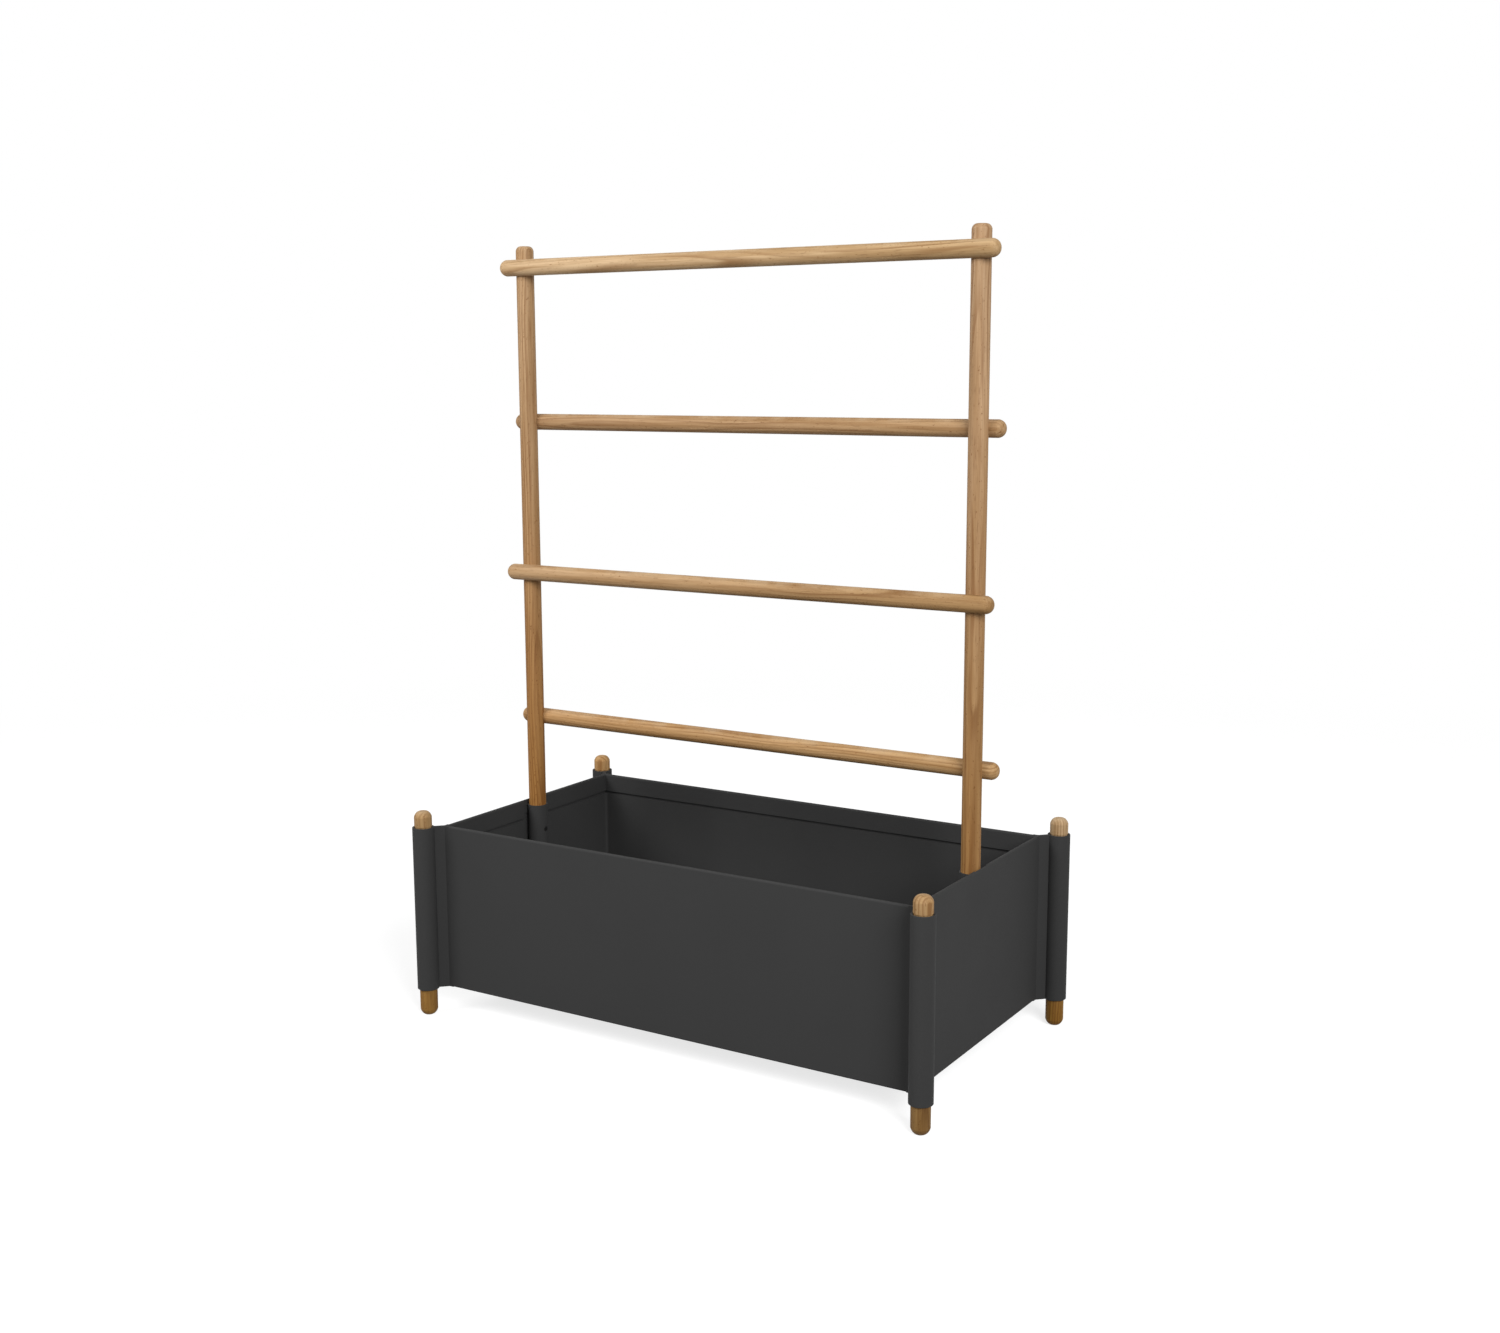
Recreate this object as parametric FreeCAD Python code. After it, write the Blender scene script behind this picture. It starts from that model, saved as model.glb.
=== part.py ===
"""Low planter box with a ladder trellis, built as separate pieces.

Frame: millimetres, +Z up, +X along the length, -Y towards the front. The origin is on the floor, under the
middle of the box. Four round sticks pass through tubes on the box's corners and stand on the floor. The trellis
stands in two sockets inside the end panels, and lifts out of them along +Z.
"""

import FreeCAD
import Part

import math
import os

# ---- corner sticks: round wood, a knob above the box and a foot below it
STICK_SPACING_X = 848.8
STICK_SPACING_Y = 460.4
STICK_DIAMETER = 27.0
KNOB_HEIGHT = 25.0
FOOT_HEIGHT = 42.0
KNOB_ROUNDING = 8.5
FOOT_ROUNDING = 9.0

# ---- corner profiles: a tube on the box's diagonal, with coves that run out into the panels' planes
STICK_CLEARANCE = 0.15
TUBE_WALL = 3.2
COVE_RADIUS = 14.0
PANEL_INSET = 21.0
FLANGE_LAND = 2.0
TUBE_MOUTH_CHAMFER = 0.6

# ---- panels: one bent sheet each, with a folded rim and a bottom flange
PANEL_HEIGHT = 257.0
SHEET = 2.0
BEND_RADIUS = 1.0
RIM_WIDTH = 6.0
RIM_DEPTH = 29.0
BOTTOM_FLANGE = 24.0

# ---- liner: a sheet tub that shows below the rim, across a narrow shadow gap
LINER_SHEET = 1.5
LINER_SIDE_GAP = 2.5
LINER_RIM_GAP = 4.0
LINER_CORNER_RADIUS = 6.0
LINER_FLOOR_RADIUS = 4.0
DRAIN_DIAMETER = 12.0
DRAIN_ROWS = 3
DRAIN_ROW_PITCH = 130.0

# ---- cross rails under the liner: a hat section on the panels' bottom flanges
RAIL_COUNT = 4
RAIL_PITCH = 210.0
RAIL_CROWN = 40.0
RAIL_HEIGHT = 20.0
RAIL_FOOT = 14.0
RAIL_SHEET = 2.0
RAIL_END_GAP = 1.5
RAIL_SCREW_DIAMETER = 4.0
RAIL_SCREW_LENGTH = 9.0
RAIL_SCREW_HEAD = 8.0
RAIL_SCREW_HEAD_HEIGHT = 2.4
RAIL_SCREW_HEAD_ROUNDING = 1.2

# ---- trellis posts, and the sockets that hold them, each a small gap off its end panel
POST_DIAMETER = 27.5
POST_LENGTH = 992.5
POST_TOP_ROUNDING = 7.0
POST_FOOT_CHAMFER = 2.0
POST_CLEARANCE = 0.25
SOCKET_WALL = 2.0
SOCKET_DEPTH = 107.0
SOCKET_FLOOR = 3.0
SOCKET_DROP = 7.5
SOCKET_GAP = 0.4
SOCKET_DRAIN = 8.0
SOCKET_SLOT = 40.0
SOCKET_SLOT_CLEARANCE = 4.0
STRAP_LENGTH = 60.0
STRAP_HEIGHT = 10.0
UPPER_STRAP_DROP = 4.5
LOWER_STRAP_RISE = 14.0

# ---- set screw in each socket, facing the middle of the box
SET_SCREW_DIAMETER = 8.0
SET_SCREW_DROP = 40.0
SET_SCREW_TIP_GAP = 0.3
SET_SCREW_SINK = 0.3
SET_SCREW_HEX = 4.0
SET_SCREW_HEX_DEPTH = 0.8
SCREW_CLEARANCE = 0.1

# ---- rungs: round wood, let into the posts in front and behind by turns
RUNG_DIAMETER = 25.0
RUNG_OVERHANG = 33.0
RUNG_END_ROUNDING = 9.5
RUNG_PITCH = 236.0
TOP_RUNG_DROP = 33.0
RUNG_OFFSET = 14.7
SADDLE_CLEARANCE = 0.1
RUNG_SCREW_DIAMETER = 5.0
RUNG_SCREW_LENGTH = 34.0
RUNG_SCREW_HEAD = 10.0
RUNG_SCREW_HEAD_HEIGHT = 3.0
RUNG_SCREW_SINK = 1.5
RUNG_SCREW_HEX = 4.0
RUNG_SCREW_HEX_DEPTH = 1.8
SCREW_EDGE = 0.3

# ---- sizes worked out from the ones above
STICK_X = STICK_SPACING_X / 2
STICK_Y = STICK_SPACING_Y / 2
BOX_X = STICK_X - PANEL_INSET
BOX_Y = STICK_Y - PANEL_INSET
BOX_BOTTOM = FOOT_HEIGHT
BOX_TOP = BOX_BOTTOM + PANEL_HEIGHT
TUBE_BORE_RADIUS = STICK_DIAMETER / 2 + STICK_CLEARANCE
TUBE_RADIUS = TUBE_BORE_RADIUS + TUBE_WALL
COVE_REACH = math.sqrt((TUBE_RADIUS + COVE_RADIUS) ** 2 - (PANEL_INSET - COVE_RADIUS) ** 2)
FLANGE_REACH = COVE_REACH + FLANGE_LAND
RAIL_BOTTOM = BOX_BOTTOM + SHEET
LINER_BOTTOM = RAIL_BOTTOM + RAIL_HEIGHT
LINER_TOP = BOX_TOP - RIM_DEPTH - LINER_RIM_GAP
SOCKET_BORE_RADIUS = POST_DIAMETER / 2 + POST_CLEARANCE
SOCKET_RADIUS = SOCKET_BORE_RADIUS + SOCKET_WALL
POST_X = BOX_X - SHEET - SOCKET_GAP - SOCKET_RADIUS
POST_SPACING = 2 * POST_X
SOCKET_TOP = BOX_TOP - SOCKET_DROP
POST_BOTTOM = SOCKET_TOP - SOCKET_DEPTH
SOCKET_BOTTOM = POST_BOTTOM - SOCKET_FLOOR
POST_TOP = POST_BOTTOM + POST_LENGTH
STRAP_SHEET = RIM_WIDTH - 2 * SHEET
RUNG_LENGTH = POST_SPACING + 2 * RUNG_OVERHANG
PAST = 5.0  # how far a cutting tool reaches past what it cuts

# the rungs from the top down
RUNGS = ("rung_top", "rung_upper", "rung_lower", "rung_bottom")
CORNERS = (
    ("front_left", -1, -1),
    ("front_right", 1, -1),
    ("back_left", -1, 1),
    ("back_right", 1, 1),
)
SIDES = (("left", -1), ("right", 1))

X_AXIS = FreeCAD.Vector(1, 0, 0)
Y_AXIS = FreeCAD.Vector(0, 1, 0)
Z_AXIS = FreeCAD.Vector(0, 0, 1)
ORIGIN = FreeCAD.Vector(0, 0, 0)


def vec(x, y, z=0.0):
    """A point or direction in millimetres."""
    return FreeCAD.Vector(x, y, z)


def block(low, high):
    """Box between two opposite corners."""
    size = [h - w for w, h in zip(low, high)]
    return Part.makeBox(size[0], size[1], size[2], vec(*low))


def rounded_wire(corners, radii):
    """Closed wire through flat corners, each rounded by its own radius (0 keeps it sharp)."""
    edges = []
    ends = []
    count = len(corners)
    for i in range(count):
        here = corners[i]
        back = (corners[i - 1] - here).normalize()
        ahead = (corners[(i + 1) % count] - here).normalize()
        if radii[i] == 0:
            ends.append((here, here))
            continue
        half_angle = back.getAngle(ahead) / 2
        reach = radii[i] / math.tan(half_angle)
        middle = (back + ahead).normalize() * (radii[i] / math.sin(half_angle) - radii[i])
        start = here + back * reach
        end = here + ahead * reach
        edges.append(Part.Arc(start, here + middle, end).toShape())
        ends.append((start, end))
    for i in range(count):
        leave = ends[i][1]
        arrive = ends[(i + 1) % count][0]
        if leave.distanceToPoint(arrive) > 1e-6:
            edges.append(Part.LineSegment(leave, arrive).toShape())
    return Part.Wire(Part.__sortEdges__(edges))


def sheet_section(path, thickness, inside_radius, normal):
    """Face of a bent sheet whose middle line is path, with every bend rounded inside and outside."""
    left = []
    right = []
    turns = []
    for i, here in enumerate(path):
        before = (here - path[i - 1]).normalize() if i else None
        after = (path[i + 1] - here).normalize() if i + 1 < len(path) else None
        before = before or after
        after = after or before
        side = (normal.cross(before) + normal.cross(after)).normalize()
        reach = thickness / 2 / side.dot(normal.cross(before))
        left.append(here + side * reach)
        right.append(here - side * reach)
        turns.append(before.cross(after).dot(normal))
    outside_radius = inside_radius + thickness
    left_radii = [0 if abs(t) < 1e-9 else (inside_radius if t > 0 else outside_radius) for t in turns]
    right_radii = [0 if abs(t) < 1e-9 else (outside_radius if t > 0 else inside_radius) for t in turns]
    outline = rounded_wire(left + right[::-1], left_radii + right_radii[::-1])
    return Part.Face(outline)


def rounded_rod(radius, length, start_rounding, end_rounding):
    """Round rod along +Z from the origin, turned from a profile with a rounding at each end."""
    turn = math.sqrt(0.5)
    start_inset = start_rounding * (1 - turn)
    end_inset = end_rounding * (1 - turn)
    edges = [
        Part.LineSegment(vec(0, 0, 0), vec(radius - start_rounding, 0, 0)).toShape(),
        Part.Arc(
            vec(radius - start_rounding, 0, 0),
            vec(radius - start_inset, 0, start_inset),
            vec(radius, 0, start_rounding),
        ).toShape(),
        Part.LineSegment(vec(radius, 0, start_rounding), vec(radius, 0, length - end_rounding)).toShape(),
        Part.Arc(
            vec(radius, 0, length - end_rounding),
            vec(radius - end_inset, 0, length - end_inset),
            vec(radius - end_rounding, 0, length),
        ).toShape(),
        Part.LineSegment(vec(radius - end_rounding, 0, length), vec(0, 0, length)).toShape(),
        Part.LineSegment(vec(0, 0, length), vec(0, 0, 0)).toShape(),
    ]
    return Part.Face(Part.Wire(edges)).revolve(ORIGIN, Z_AXIS, 360)


def hex_prism(across_flats, height):
    """Hexagonal prism along +Z from the origin, for a screw's drive socket."""
    radius = across_flats / math.sqrt(3)
    points = [vec(radius * math.cos(k * math.pi / 3), radius * math.sin(k * math.pi / 3)) for k in range(7)]
    return Part.Face(Part.makePolygon(points)).extrude(Z_AXIS * height)


def aim(shape, point, direction):
    """Turn a shape that was made along +Z so that it points along direction, and move it to point."""
    moved = shape.copy()
    moved.Placement = FreeCAD.Placement(point, FreeCAD.Rotation(Z_AXIS, direction))
    return moved


def to_corner(shape, side_x, side_y):
    """Mirror a shape made for the front left corner (inside towards +X +Y), and move it to its corner."""
    placed = shape
    if side_x > 0:
        placed = placed.mirror(ORIGIN, X_AXIS)
    if side_y > 0:
        placed = placed.mirror(ORIGIN, Y_AXIS)
    return placed.translated(vec(side_x * STICK_X, side_y * STICK_Y, 0))


# ---- corner pieces


def corner_section():
    """Section of the front left corner profile, about the tube's axis, with the inside towards +X +Y."""
    cove = vec(COVE_REACH, PANEL_INSET - COVE_RADIUS)
    on_tube = cove * (TUBE_RADIUS / (TUBE_RADIUS + COVE_RADIUS))
    to_tube = (on_tube - cove).normalize()
    halfway = cove + (to_tube + Y_AXIS).normalize() * COVE_RADIUS
    on_panel = vec(COVE_REACH, PANEL_INSET)
    inner = PANEL_INSET + SHEET

    def swap(point):
        return vec(point.y, point.x)

    diagonal = TUBE_RADIUS * math.sqrt(0.5)
    edges = [
        Part.Arc(on_tube, halfway, on_panel).toShape(),
        Part.Arc(swap(on_panel), swap(halfway), swap(on_tube)).toShape(),
        Part.Arc(swap(on_tube), vec(-diagonal, -diagonal), on_tube).toShape(),
    ]
    land = [
        on_panel,
        vec(FLANGE_REACH, PANEL_INSET),
        vec(FLANGE_REACH, inner),
        vec(inner, inner),
        vec(inner, FLANGE_REACH),
        vec(PANEL_INSET, FLANGE_REACH),
        swap(on_panel),
    ]
    edges += [Part.LineSegment(a, b).toShape() for a, b in zip(land, land[1:])]
    return Part.Face(Part.Wire(Part.__sortEdges__(edges)))


def corner_profile():
    """Front left corner profile: the section over the box's height, bored for the stick."""
    solid = corner_section().extrude(Z_AXIS * PANEL_HEIGHT)
    bore = Part.makeCylinder(TUBE_BORE_RADIUS, PANEL_HEIGHT + 2 * PAST, vec(0, 0, -PAST))
    mouth = Part.makeCone(
        TUBE_BORE_RADIUS,
        TUBE_BORE_RADIUS + TUBE_MOUTH_CHAMFER,
        TUBE_MOUTH_CHAMFER,
        vec(0, 0, PANEL_HEIGHT - TUBE_MOUTH_CHAMFER),
    )
    return solid.cut(bore).cut(mouth).translated(vec(0, 0, BOX_BOTTOM))


def corner_stick():
    """Stick that runs from the floor, through the corner tube, to the knob above it."""
    length = FOOT_HEIGHT + PANEL_HEIGHT + KNOB_HEIGHT
    return rounded_rod(STICK_DIAMETER / 2, length, FOOT_ROUNDING, KNOB_ROUNDING)


# ---- panels


def panel_section():
    """Section of a panel: x is the depth in from its outer face, z the height."""
    half = SHEET / 2
    path = [
        vec(RIM_WIDTH - half, 0, BOX_TOP - RIM_DEPTH),
        vec(RIM_WIDTH - half, 0, BOX_TOP - half),
        vec(half, 0, BOX_TOP - half),
        vec(half, 0, BOX_BOTTOM + half),
        vec(BOTTOM_FLANGE, 0, BOX_BOTTOM + half),
    ]
    return sheet_section(path, SHEET, BEND_RADIUS, -Y_AXIS)


def mitre_cutter(half_length):
    """Wedge past the 45 degree mitre at a panel's +Y end."""
    reach = BOTTOM_FLANGE + PAST
    points = [
        vec(-PAST, half_length + PAST),
        vec(reach, half_length - reach),
        vec(reach, half_length + PAST),
        vec(-PAST, half_length + PAST),
    ]
    prism = Part.Face(Part.makePolygon(points)).extrude(Z_AXIS * (PANEL_HEIGHT + 2 * PAST))
    return prism.translated(vec(0, 0, BOX_BOTTOM - PAST))


def panel(half_length):
    """Panel along Y with its outer face at x = 0: mitred folds, and a skin that ends at the corner flanges."""
    solid = panel_section().translated(vec(0, -half_length, 0)).extrude(Y_AXIS * (2 * half_length))
    skin_end = half_length + PANEL_INSET - FLANGE_REACH
    for end in (-1, 1):
        wedge = mitre_cutter(half_length)
        beside_flange = block(
            (-PAST, skin_end, BOX_BOTTOM - PAST),
            (SHEET, half_length + PAST, BOX_TOP + PAST),
        )
        for tool in (wedge, beside_flange):
            solid = solid.cut(tool if end > 0 else tool.mirror(ORIGIN, Y_AXIS))
    return solid


def long_panel(side):
    """Front panel (side -1) or back panel (side +1), holed for the rail screws."""
    solid = panel(BOX_X)
    turned = solid.rotated(ORIGIN, Z_AXIS, 90 if side < 0 else -90)
    placed = turned.translated(vec(0, side * BOX_Y, 0))
    for x, y in rail_screw_places():
        if y * side > 0:
            placed = placed.cut(rail_screw_hole(x, y))
    return placed


def end_panel(side):
    """Left panel (side -1) or right panel (side +1), its rim fold slotted for the socket."""
    slot = block(
        (SHEET, -SOCKET_SLOT / 2, BOX_TOP - RIM_DEPTH - PAST),
        (RIM_WIDTH + PAST, SOCKET_SLOT / 2, BOX_TOP + PAST),
    )
    solid = panel(BOX_Y).cut(slot).translated(vec(-BOX_X, 0, 0))
    return solid if side < 0 else solid.mirror(ORIGIN, X_AXIS)


# ---- liner and cross rails


def liner_half_sizes():
    """Half length and half width of the liner's outside."""
    inset = SHEET + LINER_SIDE_GAP
    return BOX_X - inset, BOX_Y - inset


def tub(half_x, half_y, bottom, top, corner_radius, floor_radius):
    """Solid block with rounded upright edges and a rounded floor edge."""
    body = block((-half_x, -half_y, bottom), (half_x, half_y, top))
    upright = [e for e in body.Edges if abs(e.BoundBox.ZLength - (top - bottom)) < 1e-6]
    body = body.makeFillet(corner_radius, upright)
    floor_edges = [e for e in body.Edges if e.BoundBox.ZMax < bottom + 1e-6]
    return body.makeFillet(floor_radius, floor_edges)


def liner():
    """Sheet tub with drain holes in its floor, and a slot in each end wall round the socket."""
    half_x, half_y = liner_half_sizes()
    outside = tub(half_x, half_y, LINER_BOTTOM, LINER_TOP, LINER_CORNER_RADIUS, LINER_FLOOR_RADIUS)
    inside = tub(
        half_x - LINER_SHEET,
        half_y - LINER_SHEET,
        LINER_BOTTOM + LINER_SHEET,
        LINER_TOP + PAST,
        LINER_CORNER_RADIUS - LINER_SHEET,
        LINER_FLOOR_RADIUS - LINER_SHEET,
    )
    shell = outside.cut(inside)
    slot_bottom = SOCKET_BOTTOM - SOCKET_SLOT_CLEARANCE
    for _, side in SIDES:
        inner = side * (half_x - LINER_SHEET - PAST)
        outer = side * (half_x + PAST)
        slot = block(
            (min(inner, outer), -SOCKET_SLOT / 2, slot_bottom),
            (max(inner, outer), SOCKET_SLOT / 2, LINER_TOP + PAST),
        )
        shell = shell.cut(slot)
    for x, y in drain_places():
        drill = Part.makeCylinder(DRAIN_DIAMETER / 2, LINER_SHEET + 2 * PAST, vec(x, y, LINER_BOTTOM - PAST))
        shell = shell.cut(drill)
    return shell


def drain_places():
    """Centres of the drain holes: rows across the width, columns midway between the rails."""
    columns = RAIL_COUNT - 1
    for i in range(columns):
        for j in range(DRAIN_ROWS):
            yield (i - (columns - 1) / 2) * RAIL_PITCH, (j - (DRAIN_ROWS - 1) / 2) * DRAIN_ROW_PITCH


def rail_places():
    """X of each cross rail's middle."""
    return [(i - (RAIL_COUNT - 1) / 2) * RAIL_PITCH for i in range(RAIL_COUNT)]


def rail_screw_places():
    """Centres of the rail screws: one in each foot of a rail, at both ends."""
    foot_middle = RAIL_CROWN / 2 + RAIL_FOOT / 2
    flange_middle = BOX_Y - (SHEET + BOTTOM_FLANGE) / 2
    for rail_x in rail_places():
        for foot in (-1, 1):
            for end in (-1, 1):
                yield rail_x + foot * foot_middle, end * flange_middle


def rail_screw_hole(x, y):
    """Cylinder that clears a rail screw's shank through the flange and the rail's foot."""
    bottom = BOX_BOTTOM - PAST
    radius = RAIL_SCREW_DIAMETER / 2 + SCREW_CLEARANCE
    return Part.makeCylinder(radius, SHEET + RAIL_SHEET + 2 * PAST, vec(x, y, bottom))


def cross_rail(rail_x):
    """Hat section across the box: its feet lie on the bottom flanges, and its crown carries the liner."""
    half = RAIL_SHEET / 2
    crown = RAIL_CROWN / 2 - half
    foot = RAIL_CROWN / 2 + RAIL_FOOT
    path = [
        vec(-foot, 0, half),
        vec(-crown, 0, half),
        vec(-crown, 0, RAIL_HEIGHT - half),
        vec(crown, 0, RAIL_HEIGHT - half),
        vec(crown, 0, half),
        vec(foot, 0, half),
    ]
    half_length = BOX_Y - SHEET - RAIL_END_GAP
    section = sheet_section(path, RAIL_SHEET, BEND_RADIUS, -Y_AXIS)
    rail = section.extrude(Y_AXIS * (2 * half_length)).translated(vec(rail_x, -half_length, RAIL_BOTTOM))
    for x, y in rail_screw_places():
        if abs(x - rail_x) < foot:
            rail = rail.cut(rail_screw_hole(x, y))
    return rail


def rail_screws():
    """The screws that hold the rails down, up through the flanges from below."""
    head = rounded_rod(RAIL_SCREW_HEAD / 2, RAIL_SCREW_HEAD_HEIGHT, RAIL_SCREW_HEAD_ROUNDING, SCREW_EDGE)
    shank = Part.makeCylinder(RAIL_SCREW_DIAMETER / 2, RAIL_SCREW_LENGTH, vec(0, 0, RAIL_SCREW_HEAD_HEIGHT))
    screw = head.fuse(shank)
    under = BOX_BOTTOM - RAIL_SCREW_HEAD_HEIGHT
    return [screw.translated(vec(x, y, under)) for x, y in rail_screw_places()]


# ---- sockets


def socket(side):
    """Tube with a drained floor, two straps on its outer side and a hole for the set screw."""
    height = SOCKET_TOP - SOCKET_BOTTOM
    tube = Part.makeCylinder(SOCKET_RADIUS, height, vec(-POST_X, 0, SOCKET_BOTTOM))
    skin_inner = -BOX_X + SHEET
    upper = SOCKET_TOP - UPPER_STRAP_DROP - STRAP_HEIGHT
    lower = SOCKET_BOTTOM + LOWER_STRAP_RISE
    for bottom in (lower, upper):
        strap = block(
            (skin_inner, -STRAP_LENGTH / 2, bottom),
            (skin_inner + STRAP_SHEET, STRAP_LENGTH / 2, bottom + STRAP_HEIGHT),
        )
        tube = tube.fuse(strap)
    bore = Part.makeCylinder(SOCKET_BORE_RADIUS, SOCKET_DEPTH + PAST, vec(-POST_X, 0, POST_BOTTOM))
    drain = Part.makeCylinder(SOCKET_DRAIN / 2, SOCKET_FLOOR + 2 * PAST, vec(-POST_X, 0, SOCKET_BOTTOM - PAST))
    screw_hole = Part.makeCylinder(
        SET_SCREW_DIAMETER / 2 + SCREW_CLEARANCE,
        SOCKET_RADIUS + PAST,
        vec(-POST_X, 0, SOCKET_TOP - SET_SCREW_DROP),
        X_AXIS,
    )
    solid = tube.cut(bore).cut(drain).cut(screw_hole)
    return solid if side < 0 else solid.mirror(ORIGIN, X_AXIS)


def set_screw(side):
    """Short socket-head set screw in the socket's wall, its tip just clear of the post."""
    tip = POST_DIAMETER / 2 + SET_SCREW_TIP_GAP
    outer = SOCKET_RADIUS - SET_SCREW_SINK
    body = Part.makeCylinder(SET_SCREW_DIAMETER / 2, outer - tip)
    drive = hex_prism(SET_SCREW_HEX, SET_SCREW_HEX_DEPTH).translated(vec(0, 0, outer - tip - SET_SCREW_HEX_DEPTH))
    screw = aim(body.cut(drive), vec(-POST_X + tip, 0, SOCKET_TOP - SET_SCREW_DROP), X_AXIS)
    return screw if side < 0 else screw.mirror(ORIGIN, X_AXIS)


# ---- trellis


def rung_z(place):
    """Height of a rung's axis, counted from the top one."""
    return POST_TOP - TOP_RUNG_DROP - place * RUNG_PITCH


def rung_side(place):
    """Side of the posts that a rung lies on, by turns from the top: -1 in front, +1 behind."""
    return 1 if place % 2 else -1


def rung_back(place):
    """Y of the face that a rung's screw heads sink into: the post's back, or the back rung's own."""
    return POST_DIAMETER / 2 if rung_side(place) < 0 else RUNG_OFFSET + RUNG_DIAMETER / 2


def rung_screw_cutter(x, place):
    """Counterbore and shank hole of one rung screw, driven from behind."""
    mouth = rung_back(place) - RUNG_SCREW_SINK
    shank = Part.makeCylinder(
        RUNG_SCREW_DIAMETER / 2 + SCREW_CLEARANCE, RUNG_SCREW_LENGTH, vec(x, mouth, rung_z(place)), -Y_AXIS
    )
    seat = mouth - RUNG_SCREW_HEAD_HEIGHT
    head = Part.makeCylinder(
        RUNG_SCREW_HEAD / 2 + SCREW_CLEARANCE,
        RUNG_SCREW_HEAD_HEIGHT + RUNG_SCREW_SINK + PAST,
        vec(x, seat, rung_z(place)),
        Y_AXIS,
    )
    return shank.fuse(head)


def rung_screw(x, place):
    """Round-headed screw with a hex socket, through one piece of wood into the other."""
    head = rounded_rod(RUNG_SCREW_HEAD / 2, RUNG_SCREW_HEAD_HEIGHT, SCREW_EDGE, SCREW_EDGE)
    drive = hex_prism(RUNG_SCREW_HEX, RUNG_SCREW_HEX_DEPTH)
    head = head.cut(drive.translated(vec(0, 0, RUNG_SCREW_HEAD_HEIGHT - RUNG_SCREW_HEX_DEPTH)))
    shank = Part.makeCylinder(
        RUNG_SCREW_DIAMETER / 2, RUNG_SCREW_LENGTH - RUNG_SCREW_HEAD_HEIGHT, ORIGIN, -Z_AXIS
    )
    seat = rung_back(place) - RUNG_SCREW_SINK - RUNG_SCREW_HEAD_HEIGHT
    return aim(head.fuse(shank), vec(x, seat, rung_z(place)), Y_AXIS)


def trellis_post(side):
    """Post with a rounded top and a saddle for each rung, bored for the rung screws."""
    rod = rounded_rod(POST_DIAMETER / 2, POST_LENGTH, POST_FOOT_CHAMFER, POST_TOP_ROUNDING)
    post = rod.translated(vec(side * POST_X, 0, POST_BOTTOM))
    saddle_radius = RUNG_DIAMETER / 2 + SADDLE_CLEARANCE
    for place in range(len(RUNGS)):
        start = vec(side * POST_X - POST_DIAMETER, rung_side(place) * RUNG_OFFSET, rung_z(place))
        post = post.cut(Part.makeCylinder(saddle_radius, 2 * POST_DIAMETER, start, X_AXIS))
        post = post.cut(rung_screw_cutter(side * POST_X, place))
    return post


def rung(place):
    """Rung with rounded ends, bored for its two screws."""
    rod = rounded_rod(RUNG_DIAMETER / 2, RUNG_LENGTH, RUNG_END_ROUNDING, RUNG_END_ROUNDING)
    laid = aim(rod, vec(-RUNG_LENGTH / 2, rung_side(place) * RUNG_OFFSET, rung_z(place)), X_AXIS)
    for _, end in SIDES:
        laid = laid.cut(rung_screw_cutter(end * POST_X, place))
    return laid


def rung_screws(wanted_side):
    """All the screws of the front rungs (side -1) or the back rungs (side +1)."""
    return [
        rung_screw(end * POST_X, place)
        for place in range(len(RUNGS))
        for _, end in SIDES
        if rung_side(place) == wanted_side
    ]


def pieces():
    """Every piece by name."""
    parts = {}
    profile = corner_profile()
    stick = corner_stick()
    for corner, side_x, side_y in CORNERS:
        parts["corner_profile_" + corner] = to_corner(profile, side_x, side_y)
        parts["stick_" + corner] = to_corner(stick, side_x, side_y)
    parts["front_panel"] = long_panel(-1)
    parts["back_panel"] = long_panel(1)
    for name, side in SIDES:
        parts[name + "_panel"] = end_panel(side)
        parts["socket_" + name] = socket(side)
        parts["set_screw_" + name] = set_screw(side)
        parts["trellis_post_" + name] = trellis_post(side)
    parts["liner"] = liner()
    for number, rail_x in enumerate(rail_places(), 1):
        parts[f"cross_rail_{number}"] = cross_rail(rail_x)
    parts["rail_screws"] = Part.makeCompound(rail_screws())
    for place, name in enumerate(RUNGS):
        parts[name] = rung(place)
    parts["rung_screws_front"] = Part.makeCompound(rung_screws(-1))
    parts["rung_screws_back"] = Part.makeCompound(rung_screws(1))
    return parts


def main():
    """Build every piece, check that its solids are sound, and write it to its own file."""
    os.makedirs("parts", exist_ok=True)
    for name, shape in pieces().items():
        solids = shape.Solids
        if not solids or not all(s.isValid() for s in solids):
            raise ValueError(f"{name} isn't made of sound solids")
        if shape.ShapeType != "Compound" and len(solids) != 1:
            raise ValueError(f"{name} came out as {len(solids)} solids")
        shape.exportStep(os.path.join("parts", name + ".step"))
        box = shape.BoundBox
        print(
            f"{name}: {len(solids)} solid(s), {box.XLength:.1f} x {box.YLength:.1f} x {box.ZLength:.1f} mm"
        )


main()
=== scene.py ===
"""Dresses the planter box and its ladder trellis: fine meshes, finishes, a plain studio and the camera.

Lengths are metres in the frame's own axes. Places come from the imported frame, and the sizes that the frame
doesn't give are fields of the class that builds the piece.
"""

import logging
import math
from collections.abc import Iterable, Sequence
from dataclasses import dataclass
from enum import Enum

import bmesh
import bpy
from mathutils import Matrix, Vector


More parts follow.
